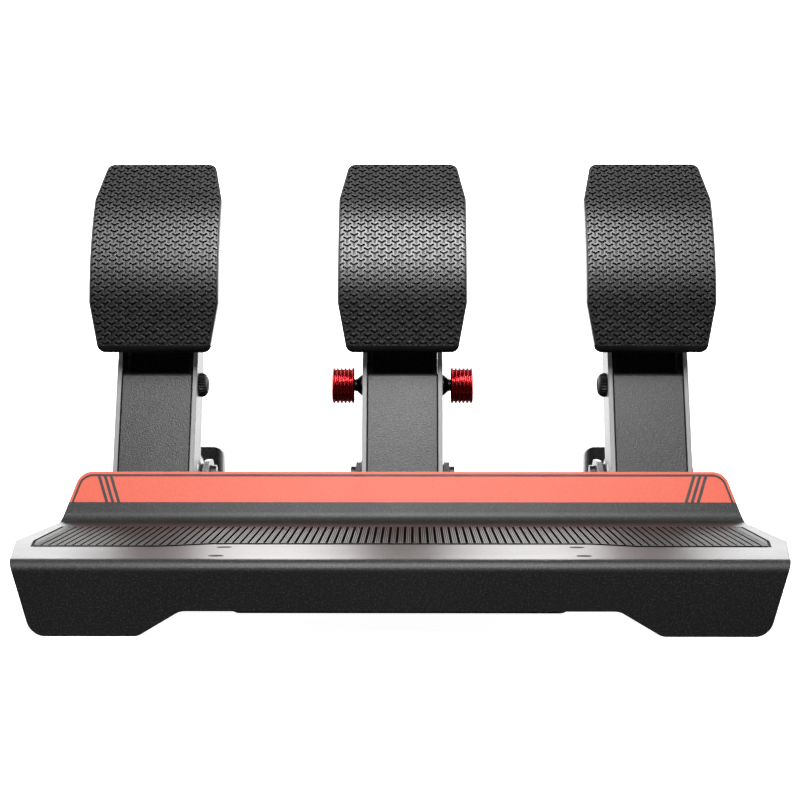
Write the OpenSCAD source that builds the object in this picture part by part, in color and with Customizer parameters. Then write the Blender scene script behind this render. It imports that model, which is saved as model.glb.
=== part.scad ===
// Three-pedal floor set with a heel plate, toe stop and sprung pedal modules.
// Millimetres, +Z up, driver at -Y. Origin under the middle of the base.

/* [Heel plate] */
// Heel plate beyond each side of the deck, at the toe stop
heel_over = 10; // [6:0.5:12]
// Further reach of each side of the heel plate at its widest
heel_bulge = 3; // [2:0.5:12]
// Narrowing of each side of the heel plate at its front bend
heel_front_in = 11.5; // [6:0.5:16]
// Depth from the apron's face to the toe stop
heel_d = 182; // [176:1:220]
// Depth of the tapered front corners
heel_taper_d = 82; // [60:1:100]
// Top of the heel plate above the floor
heel_top = 34.7; // [32:0.1:40]
// Thickness of the heel plate's sheet
sheet_t = 2.5; // [2:0.1:3]
// Inside radius of the sheet's bends
bend_r = 3; // [2:0.25:4]
// Height of the apron's raised middle edge above the floor
apron_raise = 11.4; // [8:0.1:13]
// Inward slant of each apron end from the plate's front corner to the floor
apron_slant = 10.3; // [8:0.1:16]
// Width of each apron foot on the floor
apron_foot_w = 48; // [36:1:60]
// Run of the slope from a foot to the raised edge
apron_slope_w = 19.2; // [12:0.1:24]
// Height of the toe stop above the heel plate
toe_h = 27.1; // [20:0.1:32]
// Lean of the toe stop towards the pedals, degrees
toe_lean = 20; // [10:1:25]
// Inward slant of each toe stop end over its height
toe_slant = 9.4; // [4:0.1:14]
// Corner radius of the toe stop
toe_corner_r = 9; // [4:0.5:11]
// Inside radius of the bend at the toe stop's foot
toe_bend_r = 8; // [3:0.5:10]

/* [Heel mat] */
// Plate left bare at each end of the mat
mat_end_gap = 7; // [5:0.5:12]
// Depth of the mat at its ends
mat_end_d = 98.4; // [94:0.1:110]
// Depth of the mat in the middle
mat_mid_d = 87.5; // [80:0.5:92]
// Width of the shallow middle of the mat
mat_mid_w = 186; // [140:1:190]
// Plate left bare behind the mat
mat_rear_gap = 28; // [24:0.5:34]
// Narrowing of each end of the mat at its front
mat_taper = 4.6; // [2:0.1:7]
// Depth of that narrowing
mat_taper_d = 28; // [20:0.5:40]
// Depth of the mat's pocket in the plate
pocket_d = 0.9; // [0.5:0.1:1]
// Gap round the mat in its pocket
pocket_gap = 1.4; // [0.8:0.1:2]
// Thickness of the mat's backing
mat_t = 0.8; // [0.6:0.1:1.2]
// Pitch of the ribs
rib_pitch = 3.81; // [3.5:0.01:5]
// Width of a rib
rib_w = 2.8; // [1.5:0.1:3.1]
// Height of a rib
rib_h = 0.7; // [0.5:0.1:1.2]
// Plain border at each end of the ribs
mat_border = 3; // [2:0.25:6]

/* [Mount tray] */
// Half width of the tray's floor
tray_half_w = 78; // [70:0.5:79]
// Drop of the tray below the apron's raised edge
tray_drop = 1.6; // [0.5:0.1:3]
// Depth of the tray
tray_d = 84; // [70:1:90]
// Width of the tray's side flanges
tray_flange_w = 15.5; // [12:0.5:20]
// Distance of the front screws behind the apron's face
tray_screw_y = 16.4; // [15:0.2:20]
// Distance between the front and the rear screws
tray_screw_gap = 36.6; // [30:0.2:44]
// Distance between the tray's two rig slots
tray_slot_gap = 80; // [60:1:90]

/* [Deck] */
// Depth of the deck behind the toe stop
deck_d = 208; // [204:1:240]
// Deck beyond each outer frame
deck_side = 11; // [9:0.5:14]
// Thickness of the deck's sheet
deck_t = 3; // [2.5:0.1:4]
// Height of the deck's side flanges
deck_flange_h = 15; // [10:0.5:20]
// Reach of the deck's lip under the mat
lip_d = 20; // [18:1:26]
// Height of a rubber foot
foot_h = 3; // [2:0.25:4]
// Diameter of a rubber foot
foot_dia = 20; // [14:1:24]
// Width of a rig slot
slot_w = 8.5; // [6.5:0.5:9]
// Length of a rig slot
slot_l = 30; // [20:1:36]
// Distance between the rig slots along the deck
deck_slot_gap = 100; // [80:1:110]
// Middle of the deck's slots behind the pedal pivots
deck_slot_back = 66.5; // [60:0.5:72]

/* [Pedals] */
// Distance between pedals
pedal_pitch = 140; // [132:1:160]
// Pivot behind the toe stop's base
pivot_back = 26.5; // [25:0.5:32]
// Pivot above the floor
pivot_z = 31.2; // [29:0.1:34]
// Diameter of the pivot axle
axle_dia = 10; // [8:0.5:11]
// Lean of the arms at rest, degrees
arm_lean = 18.7; // [14:0.1:20]
// Width over an arm
arm_w = 45.6; // [42:0.2:48]
// Thickness of an arm's plates
arm_t = 2.5; // [2:0.1:3]
// Web's front face before the pivot
arm_front = 15.8; // [15:0.1:17]
// Rear edge of an arm behind the pivot
arm_rear = 14; // [12:0.5:15]
// Top of an arm above the pivot
arm_top = 108; // [102:1:112]
// Start of the front web above the pivot
web_lo = 14; // [10:1:20]
// End of the front web above the pivot
web_hi = 84.6; // [80:0.2:85]
// Rounding of the web's front edges
web_edge_r = 1.8; // [0.5:0.1:1.9]
// Travel of the clutch and throttle, degrees
outer_travel_angle = 18; // [14:1:18]
// Travel of the brake, degrees
brake_travel_angle = 9; // [7:1:12]

/* [Pads] */
// Width of a pad
pad_w = 73; // [64:1:80]
// Length of the flat at each end of a pad
pad_flat = 28; // [22:0.5:32]
// Radius of the curved middle
pad_bend_r = 98; // [85:1:100]
// Angle of the curved middle, degrees
pad_bend_angle = 38; // [34:1:42]
// Narrowing of a pad's side over its end flat
pad_chamfer = 5.2; // [2:0.1:8]
// Corner radius of a pad
pad_corner_r = 4.5; // [1:0.25:6]
// Thickness of the tread
tread_t = 3.5; // [3:0.1:4.5]
// Thickness of the steel plate behind the tread
pad_plate_t = 3; // [2:0.1:4]
// Middle of a pad above the pivot, along the arm
pad_u = 148.9; // [146:0.1:152]
// Middle of a pad's chord before the pivot
pad_fwd = 33.8; // [32:0.2:37]
// Lean of a pad beyond the arm's, degrees
pad_lean = 1; // [0:0.5:3]
// Clamp axis above the pivot, along the arm
clamp_u = 81.5; // [79:0.1:82]
// Clamp axis before the pivot
clamp_fwd = 2.8; // [2:0.1:3.4]
// Diameter of an outer pedal's clamp bolt
clamp_bolt_dia = 8; // [6:0.5:8]
// Diameter of a clamp bolt's head
clamp_head_dia = 13.8; // [12:0.1:15]
// Diameter of the brake's clamp stud
stud_dia = 6; // [5:0.5:6.5]
// Diameter of a clamp knob
knob_dia = 21.2; // [16:0.1:24]
// Length of a clamp knob
knob_l = 13.1; // [12:0.1:16]
// Fins on a clamp knob
knob_fins = 6; // [4:1:7]

/* [Return mechanism] */
// Rod pin above the pivot, along the arm
rod_u = 32; // [30:0.5:34]
// Rod pin behind the pivot
rod_v = 3; // [1:0.5:4]
// Diameter of the push rods and their pins
rod_dia = 8; // [6:0.5:8]
// Tower's front face behind the pivot
tower_back = 138.5; // [136:0.5:142]
// Top of the towers above the floor
tower_top = 67.5; // [67:0.5:72]
// Height of the rod guides above the floor
guide_z = 54.5; // [53:0.25:55]
// Thickness of the frames and towers
frame_t = 3; // [2.5:0.1:3.5]
// Height of the travel stops above the floor
stop_z = 56.7; // [54:0.1:58]
// Mean diameter of a return spring
spring_dia = 23; // [20:0.5:24]
// Diameter of the spring wire
spring_wire = 2.6; // [2:0.1:3]
// Curls of a return spring
spring_curls = 9; // [6:1:12]
// Thickness of the brake's load cell
cell_t = 18; // [14:1:20]
// Length of the brake's elastomer stack
stack_l = 48; // [40:1:54]
// Pucks in the elastomer stack
stack_pucks = 3; // [2:1:4]

/* [Control box] */
// Width of the control box
box_w = 60; // [50:1:64]
// Depth of the control box
box_d = 38; // [34:1:40]
// Height of the control box
box_h = 22; // [20:1:26]
// Wall of the control box
box_wall = 2; // [1.5:0.1:2.5]

/* [Clearances] */
// Radial clearance of a turning pin
run_clear = 0.05; // [0.02:0.01:0.09]
// Radial clearance of a fixed pin
seat_clear = 0.02; // [0.01:0.01:0.05]
// Radial clearance of a screw in its hole
hole_clear = 0.3; // [0.2:0.05:0.4]
// Side gap between an arm and the ears of its frame
ear_gap = 1.2; // [1.1:0.1:1.6]
// Side gap between a pad bracket and its arm
bracket_gap = 0.4; // [0.3:0.1:0.6]
// Room round a push rod in its guide
guide_clear = 1; // [0.9:0.1:1.4]
// Gap between parts that close on each other
stop_gap = 0.4; // [0.3:0.1:0.6]

/* [Hidden] */
$fn = 48;

coat = [0.10, 0.10, 0.105];
rubber = [0.07, 0.07, 0.07];
dark_steel = [0.05, 0.05, 0.055];
zinc = [0.62, 0.63, 0.65];
bright_steel = [0.72, 0.73, 0.75];
red = [0.62, 0.04, 0.05];
nylon = [0.85, 0.84, 0.80];
moulding = [0.06, 0.06, 0.065];
board_green = [0.05, 0.25, 0.12];

CLUTCH = 0;
BRAKE = 1;
THROTTLE = 2;
PEDALS = [CLUTCH, BRAKE, THROTTLE];
SIDES = [-1, 1];
arc_steps = 10;

// Levels and stations of the base
base_front = -(heel_d + deck_d) / 2;
base_rear = (heel_d + deck_d) / 2;
toe_y = base_front + heel_d;
heel_low = heel_top - sheet_t;
toe_top = heel_top + toe_h;
deck_low = foot_h;
deck_top = foot_h + deck_t;
riser_y = toe_y + 2;
lip_low = heel_low - deck_t;
mat_rear = toe_y - mat_rear_gap;
mat_front = mat_rear - mat_end_d;
mat_slope_w = 22;
mat_low = heel_top - pocket_d;
lip_front = mat_rear - lip_d;
tray_y = base_front + sheet_t + bend_r;
tray_low = apron_raise - tray_drop;

// Screws: thread radius, head radius and head height
m4 = 2;
m4_head = 3.4;
m4_cone = 1.4;
m4_nut_r = 4;
m4_nut_h = 3.2;
m6 = 3;
m6_head = 5;
m6_head_h = 3.3;
tray_screw_x = tray_half_w + bend_r + m4_nut_r * cos(30) + seat_clear;
tray_screws_y = [base_front + tray_screw_y, base_front + tray_screw_y + tray_screw_gap];
lip_screw_y = mat_rear - lip_d / 2;

// Stations of a pedal module
pivot_y = toe_y + pivot_back;
arm_in = arm_w / 2 - arm_t;
ear_in = arm_w / 2 + ear_gap;
ear_out = ear_in + frame_t;
frame_y0 = pivot_y - 18;
frame_y1 = pivot_y + tower_back + 26;
frame_base = deck_top + frame_t;
frame_rear_h = 34;
frame_bolt_x = 14;
frame_bolts_y = [pivot_y + 36, frame_y1 - 40];
tower_y = pivot_y + tower_back;
tower_half = ear_in - stop_gap / 2;
tower_d = 22;
tower_screw_y = tower_y + 13;
tower_screws_z = [frame_base + 7, frame_base + 19];
bush_r = axle_dia / 2 + 1.5;
bush_flange_r = bush_r + 2.5;
bush_flange_t = 1;
stop_r = 6;
stop_l = 7;

// Widths of the base, from the spacing of the pedals
deck_w = 2 * (pedal_pitch + ear_out + deck_side);
heel_rear_w = deck_w + 2 * heel_over;
heel_w = heel_rear_w + 2 * heel_bulge;
heel_front_w = heel_rear_w - 2 * heel_front_in;
mat_w = heel_rear_w - 2 * mat_end_gap;
lip_screw_x = deck_w / 2 - 28;
lip_screws_x = [-lip_screw_x, -0.4 * lip_screw_x, 0.4 * lip_screw_x, lip_screw_x];

// A push rod runs from the arm's pin to the tower, nearly level
pin_y = pivot_y + rod_u * sin(arm_lean) + rod_v * cos(arm_lean);
pin_z = pivot_z + rod_u * cos(arm_lean) - rod_v * sin(arm_lean);
rod_fall = atan2(pin_z - guide_z, tower_y - pin_y);
rod_l = (tower_y - pin_y) / cos(rod_fall);
rod_r = rod_dia / 2;
eye_r = rod_r + 5;
eye_w = 12;
guide_r = rod_r + guide_clear;
guide_wall = 2;
guide_flange_r = 12.5;
guide_flange_t = 3;
preload_r = 13;
preload_t = 8;
preload_hub = 4;
rod_tail = 20;
stop_nut_r = 7.5;
stop_nut_h = 6.5;
stop_washer_t = 2.5;
wire_sides = 6;
curl_steps = 8;
spring_seat = 34;

function pedal_x(i) = (i - 1) * pedal_pitch;
function travel(i) = i == BRAKE ? brake_travel_angle : outer_travel_angle;
function clamp_r(i) = (i == BRAKE ? stud_dia : clamp_bolt_dia) / 2;
function guide_depth(i) = i == BRAKE ? cell_t : 0;
function guide_front(i) = rod_l - guide_depth(i) - guide_flange_t - 1;
function preload_s(i) = (i == BRAKE ? guide_front(i) - stack_l - stop_gap : spring_seat) - preload_t;
function rod_height(y) = pin_z - (y - pin_y) * tan(rod_fall);
function stop_u(i) = (stop_z - pivot_z + stop_v * sin(arm_lean + travel(i))) / cos(arm_lean + travel(i));
function stop_y(i) = pivot_y + stop_u(i) * sin(arm_lean + travel(i)) + stop_v * cos(arm_lean + travel(i));
stop_v = arm_rear + stop_r + stop_gap;

// Outlines: a polygon whose corners [x, y, r] are rounded, and a bent strip of sheet
function unit(v) = v / norm(v);
function left_of(v) = [-v[1], v[0]];
function corner(a, b, c, r) =
  let (p = unit(a - b), q = unit(c - b), half = acos(max(-1, min(1, p * q))) / 2)
  r <= 0 || half > 89.5 ? [b] :
  let (
    centre = b + unit(p + q) * r / sin(half),
    first = b + p * r / tan(half) - centre,
    last = b + q * r / tan(half) - centre,
    from = atan2(first[1], first[0]),
    turn = (atan2(last[1], last[0]) - from + 540) % 360 - 180
  )
  [for (k = [0:arc_steps]) centre + r * [cos(from + turn * k / arc_steps), sin(from + turn * k / arc_steps)]];
function xy(p) = [p[0], p[1]];
function rounded(pts) =
  let (n = len(pts))
  [for (i = [0:n - 1])
    each corner(xy(pts[(i + n - 1) % n]), xy(pts[i]), xy(pts[(i + 1) % n]), len(pts[i]) > 2 ? pts[i][2] : 0)];
function mitre(a, b, c, t) =
  let (m = left_of(unit(b - a)), n = left_of(unit(c - b)))
  b + t * (m + n) / (1 + m * n);
function turns_left(a, b, c) = left_of(unit(b - a)) * unit(c - b) > 0;
function at_corner(r, i) = is_list(r) ? r[i] : r;
function strip(path, t, r) =
  let (
    n = len(path),
    ends = [path[0] + t * left_of(unit(path[1] - path[0])),
            path[n - 1] + t * left_of(unit(path[n - 1] - path[n - 2]))],
    near = [for (i = [0:n - 1])
      i == 0 || i == n - 1 ? path[i] :
      [each path[i], at_corner(r, i) + (turns_left(path[i - 1], path[i], path[i + 1]) ? t : 0)]],
    far = [for (i = [n - 1:-1:0])
      i == 0 ? ends[0] : i == n - 1 ? ends[1] :
      [each mitre(path[i - 1], path[i], path[i + 1], t),
       at_corner(r, i) + (turns_left(path[i - 1], path[i], path[i + 1]) ? 0 : t)]]
  )
  rounded(concat(near, far));
function mirrored(pts) =
  rounded(concat(pts, [for (i = [len(pts) - 1:-1:0]) [-pts[i][0], pts[i][1], pts[i][2]]]));

// Drawing planes
module along_x(w) {
  translate([-w / 2, 0, 0])
    rotate([90, 0, 90])
      linear_extrude(w)
        children();
}

module along_y(y0, d) {
  translate([0, y0 + d, 0])
    rotate([90, 0, 0])
      linear_extrude(d)
        children();
}

module rod_x(r, x0, x1) {
  translate([x0, 0, 0])
    rotate([0, 90, 0])
      cylinder(r = r, h = x1 - x0);
}

module rod_y(r, y0, y1) {
  translate([0, y0, 0])
    rotate([-90, 0, 0])
      cylinder(r = r, h = y1 - y0);
}

module hex_x(r, x0, x1) {
  translate([x0, 0, 0])
    rotate([0, 90, 0])
      cylinder(r = r, h = x1 - x0, $fn = 6);
}

module at_pedal(i) {
  translate([pedal_x(i), 0, 0])
    children();
}

module on_arm() {
  translate([0, pivot_y, pivot_z])
    rotate([-arm_lean, 0, 0])
      children();
}

module at_clamp() {
  on_arm()
    translate([0, -clamp_fwd, clamp_u])
      children();
}

module on_pad() {
  on_arm()
    translate([0, -pad_fwd, pad_u])
      rotate([-pad_lean, 0, 0])
        children();
}

module on_rod() {
  translate([0, pin_y, pin_z])
    rotate([-rod_fall, 0, 0])
      children();
}

module towards_middle(i) {
  if (i == THROTTLE)
    mirror([1, 0, 0])
      children();
  else
    children();
}

// Screws of the heel plate, head up
module cone_screw(r, head, cone, l) {
  translate([0, 0, -l])
    cylinder(r = r, h = l - cone / 2);
  translate([0, 0, -cone])
    cylinder(r1 = r, r2 = head, h = cone);
}

module cone_hole(r, head, cone, depth) {
  translate([0, 0, -depth])
    cylinder(r = r + hole_clear, h = depth + 1);
  translate([0, 0, -cone])
    cylinder(r1 = r + hole_clear, r2 = head + hole_clear, h = cone);
  cylinder(r = head + hole_clear, h = 1);
}

module at_tray_screws() {
  for (side = SIDES)
    for (y = tray_screws_y)
      translate([side * tray_screw_x, y, heel_top])
        children();
}

module at_lip_screws() {
  for (x = lip_screws_x)
    translate([x, lip_screw_y, mat_low])
      children();
}

// Rounded slot along X
module slot_x(w, l, h) {
  for (side = SIDES)
    translate([side * (l - w) / 2, 0, 0])
      cylinder(d = w, h = h);
  translate([-(l - w) / 2, -w / 2, 0])
    cube([l - w, w, h]);
}

// Base
module heel_plate() {
  lean_run = toe_h * tan(toe_lean);
  side = [
    [base_front, 0], [base_front, heel_top], [toe_y, heel_top], [toe_y + lean_run, toe_top]
  ];
  plan = mirrored([
    [heel_front_w / 2, base_front - 1, 0],
    [heel_front_w / 2, base_front + sheet_t + bend_r, 0],
    [heel_w / 2, base_front + heel_taper_d, 60],
    [heel_rear_w / 2, toe_y, 0],
    [heel_rear_w / 2, toe_y + lean_run + 10, 0]
  ]);
  apron_top = heel_low - bend_r;
  foot_x = heel_front_w / 2 - apron_slant;
  apron_x = foot_x + apron_slant * apron_top / heel_top;
  bends = [0, bend_r + sheet_t, toe_bend_r + sheet_t, 0];
  front = mirrored([
    [foot_x - apron_foot_w - apron_slope_w, apron_raise, 8],
    [foot_x - apron_foot_w, 0, 8],
    [foot_x, 0, 9],
    [apron_x, apron_top, 0],
    [heel_w / 2 + 1, apron_top, 0],
    [heel_w / 2 + 1, heel_top, 0],
    [heel_rear_w / 2, heel_top, 0],
    [heel_rear_w / 2 - toe_slant, toe_top, toe_corner_r]
  ]);
  color(coat)
    difference() {
      intersection() {
        along_x(heel_w + 4)
          polygon(strip(side, -sheet_t, bends));
        linear_extrude(toe_top + 1)
          polygon(plan);
        along_y(base_front - 1, heel_d + lean_run + 12)
          polygon(front);
      }
      for (end = [0, 1])
        mirror([end, 0, 0])
          along_y(base_front - 1, sheet_t + bend_r + 1)
            polygon([
              [apron_x, apron_top - 1], [apron_x, apron_top], [heel_front_w / 2, heel_top],
              [heel_w / 2, heel_top], [heel_w / 2, apron_top - 1]
            ]);
      translate([0, 0, mat_low])
        linear_extrude(pocket_d + 1)
          polygon(mat_outline(-pocket_gap, -pocket_gap));
      at_tray_screws()
        cone_hole(m4, m4_head, m4_cone, sheet_t + 1);
      at_lip_screws()
        cone_hole(m4, m4_head, m4_cone, sheet_t + 1);
    }
}

function mat_outline(sides, ends) = mirrored([
  [mat_w / 2 - sides, mat_rear - ends, 1.5],
  [mat_w / 2 - sides, mat_front + mat_taper_d, 20],
  [mat_w / 2 - mat_taper - sides, mat_front + ends, 1.5],
  [mat_mid_w / 2 + mat_slope_w + ends / 2, mat_front + ends, 12],
  [mat_mid_w / 2 + ends / 2, mat_rear - mat_mid_d + ends, 12]
]);

module heel_mat() {
  ribs = floor((mat_w - 2 * mat_border - rib_w) / 2 / rib_pitch);
  color(rubber) {
    translate([0, 0, mat_low])
      linear_extrude(mat_t)
        polygon(mat_outline(0, 0));
    intersection() {
      translate([0, 0, mat_low + mat_t / 2])
        linear_extrude(rib_h + mat_t / 2)
          polygon(mat_outline(mat_border, rib_h));
      for (k = [-ribs:ribs])
        translate([k * rib_pitch - rib_w / 2, mat_front, mat_low + mat_t / 2])
          cube([rib_w, mat_end_d, rib_h + mat_t / 2]);
    }
  }
}

module mount_tray() {
  flange = heel_low - sheet_t;
  path = [
    [-tray_half_w - tray_flange_w, flange], [-tray_half_w, flange], [-tray_half_w, tray_low],
    [tray_half_w, tray_low], [tray_half_w, flange], [tray_half_w + tray_flange_w, flange]
  ];
  color(coat)
    difference() {
      along_y(tray_y, tray_d)
        polygon(strip(path, sheet_t, bend_r));
      at_tray_screws()
        translate([0, 0, -2 * sheet_t - 1])
          cylinder(r = m4 + hole_clear, h = 2 * sheet_t);
      for (side = SIDES)
        translate([side * tray_slot_gap / 2, tray_y + tray_d / 2, tray_low - 1])
          slot_x(slot_w, slot_l, sheet_t + 2);
    }
}

module screw_and_nut(grip) {
  cone_screw(m4, m4_head, m4_cone, grip + m4_nut_h + 1);
  translate([0, 0, -grip - m4_nut_h])
    difference() {
      rotate([0, 0, 30])
        cylinder(r = m4_nut_r, h = m4_nut_h, $fn = 6);
      translate([0, 0, -1])
        cylinder(r = m4 + seat_clear, h = m4_nut_h + 2);
    }
}

module heel_screws() {
  color(dark_steel) {
    at_tray_screws()
      screw_and_nut(2 * sheet_t);
    at_lip_screws()
      screw_and_nut(mat_low - lip_low);
  }
}

module deck() {
  half = deck_w / 2;
  side = [
    [lip_front, heel_low], [riser_y, heel_low], [riser_y, deck_top], [base_rear, deck_top]
  ];
  cross = [
    [-half, deck_low + deck_flange_h], [-half, deck_low], [half, deck_low], [half, deck_low + deck_flange_h]
  ];
  flange_y = riser_y + 2 * bend_r + deck_t;
  color(coat)
    difference() {
      union() {
        along_x(deck_w - 2 * (bend_r + deck_t))
          polygon(strip(side, -deck_t, bend_r));
        along_y(flange_y, base_rear - flange_y)
          polygon(strip(cross, deck_t, bend_r));
      }
      at_lip_screws()
        translate([0, 0, -sheet_t - deck_t - 1])
          cylinder(r = m4 + hole_clear, h = deck_t + 2);
      for (i = PEDALS)
        at_frame_bolts(i)
          translate([0, 0, -frame_t - deck_t - 1])
            cylinder(r = m6 + seat_clear, h = deck_t + 2);
      for (side = SIDES)
        for (k = SIDES)
          translate([side * pedal_pitch / 2, pivot_y + deck_slot_back + k * deck_slot_gap / 2, deck_low - 1])
            slot_x(slot_w, slot_l, deck_t + 2);
    }
}
module feet() {
  color(rubber)
    for (side = SIDES)
      for (y = [riser_y + 20, base_rear - 16])
        translate([side * (deck_w / 2 - 20), y, 0]) {
          cylinder(d1 = foot_dia - 1, d2 = foot_dia, h = 0.5);
          translate([0, 0, 0.5])
            cylinder(d = foot_dia, h = foot_h - 0.5);
        }
}

// Pedal frames and what is fixed to them
module at_frame_bolts(i) {
  for (side = SIDES)
    for (y = frame_bolts_y)
      translate([pedal_x(i) + side * frame_bolt_x, y, frame_base])
        children();
}

module at_stops(i) {
  for (side = [0, 1])
    translate([pedal_x(i), stop_y(i), stop_z])
      mirror([side, 0, 0])
        children();
}

module at_tower_screws(i) {
  for (side = [0, 1])
    for (z = tower_screws_z)
      translate([pedal_x(i), tower_screw_y, z])
        mirror([side, 0, 0])
          children();
}

module pedal_frame(i) {
  ear_top = stop_z + 8;
  section = [[-ear_out, ear_top + 1], [-ear_out, deck_top], [ear_out, deck_top], [ear_out, ear_top + 1]];
  side = rounded([
    [frame_y0, deck_top - 1],
    [frame_y0, pivot_z + 12, 10],
    [stop_y(i) - 9, ear_top, 7],
    [stop_y(i) + 9, ear_top, 7],
    [stop_y(i) + 46, frame_base + frame_rear_h, 14],
    [frame_y1, frame_base + frame_rear_h, 5],
    [frame_y1, deck_top - 1]
  ]);
  color(coat)
    difference() {
      at_pedal(i)
        intersection() {
          along_y(frame_y0, frame_y1 - frame_y0)
            polygon(strip(section, frame_t, bend_r));
          along_x(2 * ear_out + 2)
            polygon(side);
        }
      at_pedal(i)
        translate([0, pivot_y, pivot_z])
          rod_x(bush_r + seat_clear, -ear_out - 1, ear_out + 1);
      at_stops(i)
        rod_x(m6 + hole_clear, ear_in - 1, ear_out + 1);
      at_tower_screws(i)
        rod_x(m6 + hole_clear, ear_in - 1, ear_out + 1);
      at_frame_bolts(i)
        translate([0, 0, -frame_t - 1])
          cylinder(r = m6 + hole_clear, h = frame_t + 2);
    }
}

module frame_bolts() {
  color(dark_steel)
    for (i = PEDALS)
      at_frame_bolts(i)
        difference() {
          union() {
            translate([0, 0, -frame_t - deck_t + 0.5])
              cylinder(r = m6, h = frame_t + deck_t);
            cylinder(r = m6_head, h = m6_head_h);
          }
          translate([0, 0, m6_head_h - 2])
            cylinder(r = 2.3, h = 3, $fn = 6);
        }
}

module side_screw(inner) {
  difference() {
    union() {
      rod_x(m6, inner, ear_out + 1);
      rod_x(m6_head, ear_out, ear_out + m6_head_h);
    }
    hex_x(2.3, ear_out + m6_head_h - 2, ear_out + m6_head_h + 1);
  }
}

module side_screws() {
  color(dark_steel)
    for (i = PEDALS) {
      at_stops(i)
        side_screw(ear_in - stop_l + 2);
      at_tower_screws(i)
        side_screw(tower_half - frame_t - 1);
    }
}

module stop_bumpers() {
  color(rubber)
    for (i = PEDALS)
      at_stops(i)
        difference() {
          rod_x(stop_r, ear_in - stop_l, ear_in);
          rod_x(m6 + seat_clear, ear_in - stop_l + 2 - seat_clear, ear_in + 1);
        }
}

module pivot_bushes() {
  color(nylon)
    for (i = PEDALS)
      for (side = [0, 1])
        translate([pedal_x(i), pivot_y, pivot_z])
          mirror([side, 0, 0])
            difference() {
              union() {
                rod_x(bush_r, ear_in - bush_flange_t / 2, ear_out);
                rod_x(bush_flange_r, ear_in - bush_flange_t, ear_in);
              }
              rod_x(axle_dia / 2 + run_clear, ear_in - 3, ear_out + 1);
            }
}

module pedal_tower(i) {
  path = [
    [-tower_half, tower_y + tower_d], [-tower_half, tower_y], [tower_half, tower_y],
    [tower_half, tower_y + tower_d]
  ];
  front = rounded([
    [-tower_half - 1, frame_base + bend_r + 1], [bend_r - tower_half, frame_base],
    [tower_half - bend_r, frame_base], [tower_half + 1, frame_base + bend_r + 1],
    [tower_half + 1, tower_top - 7], [tower_half, tower_top - 7], [tower_half, tower_top, 6],
    [-tower_half, tower_top, 6], [-tower_half, tower_top - 7], [-tower_half - 1, tower_top - 7]
  ]);
  side = rounded([
    [tower_y - 1, frame_base], [tower_y + tower_d + 1, frame_base],
    [tower_y + tower_d + 1, tower_screws_z[1] + 8], [tower_y + 12, tower_top + 1],
    [tower_y - 1, tower_top + 1]
  ]);
  color(coat)
    difference() {
      at_pedal(i)
        intersection() {
          translate([0, 0, frame_base])
            linear_extrude(tower_top - frame_base)
              polygon(strip(path, frame_t, bend_r));
          along_y(tower_y - 1, tower_d + 2)
            polygon(front);
          along_x(2 * tower_half + 4)
            polygon(side);
        }
      at_pedal(i)
        translate([0, 0, rod_height(tower_y)])
          rod_y(guide_r + guide_wall + seat_clear, tower_y - 1, tower_y + frame_t + 1);
      at_tower_screws(i)
        rod_x(m6 + seat_clear, tower_half - frame_t - 2, tower_half + 1);
    }
}

module load_cell() {
  cell_w = 34;
  cell_h = 30;
  centre = rod_height(tower_y - cell_t);
  color(zinc)
    at_pedal(BRAKE)
      difference() {
        translate([-cell_w / 2, tower_y - cell_t, centre - cell_h / 2])
          cube([cell_w, cell_t, cell_h]);
        translate([0, 0, centre])
          rod_y(guide_r + guide_wall + seat_clear, tower_y - cell_t - 1, tower_y + 1);
        for (side = SIDES)
          translate([side * cell_w / 2, tower_y - cell_t / 2, centre - cell_h / 2 - 1])
            cylinder(r = 3, h = cell_h + 2);
      }
}

module rod_guides() {
  color(nylon)
    for (i = PEDALS) {
      face = tower_y - guide_depth(i);
      at_pedal(i)
        translate([0, 0, rod_height(face)])
          difference() {
            union() {
              rod_y(guide_r + guide_wall, face - 1, face + frame_t);
              rod_y(guide_flange_r, face - guide_flange_t, face);
            }
            rod_y(guide_r, face - guide_flange_t - 1, face + frame_t + 1);
          }
    }
}

// Position sensor over the axle's end, on the side of its frame that faces the brake
module pedal_sensor(i) {
  sensor_d = 30;
  sensor_h = 26;
  sensor_w = 15;
  color(moulding)
    at_pedal(i)
      towards_middle(i)
        difference() {
          translate([ear_out, pivot_y - sensor_d / 2 + 4, pivot_z - sensor_h / 2])
            rotate([90, 0, 90])
              linear_extrude(sensor_w)
                polygon(rounded([[0, 0, 4], [sensor_d, 0, 4], [sensor_d, sensor_h, 4], [0, sensor_h, 4]]));
          translate([0, pivot_y, pivot_z])
            rod_x(axle_nut_r + 1, ear_out - 1, ear_out + sensor_w - 3);
        }
}
axle_nut_r = 8.5;
axle_nut_h = 5;
axle_end = ear_out + stop_gap;

// Arms
module pedal_arm(i) {
  outline = rounded([
    [-arm_front, -15, 13], [arm_rear, -15, 13], [arm_rear, arm_top / 2], [arm_rear - 3, arm_top, 9],
    [-arm_front, arm_top, 9]
  ]);
  web_y = seam - arm_front;
  web = rounded([
    [web_y, web_lo, web_edge_r], [web_y + arm_t, web_lo], [web_y + arm_t, web_hi], [web_y, web_hi, web_edge_r]
  ]);
  color(coat)
    at_pedal(i)
      on_arm()
        difference() {
          union() {
            for (side = SIDES)
              translate([side * (arm_w - arm_t) / 2, 0, 0])
                along_x(arm_t)
                  polygon(outline);
            along_x(2 * (arm_in + seam))
              polygon(web);
          }
          rod_x(axle_dia / 2 + seat_clear, -arm_w, arm_w);
          translate([0, rod_v, rod_u])
            rod_x(rod_r + seat_clear, -arm_w, arm_w);
          translate([0, -clamp_fwd, clamp_u])
            rod_x(clamp_r(i) + seat_clear, -arm_w, arm_w);
        }
}
seam = 0.3;

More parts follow.
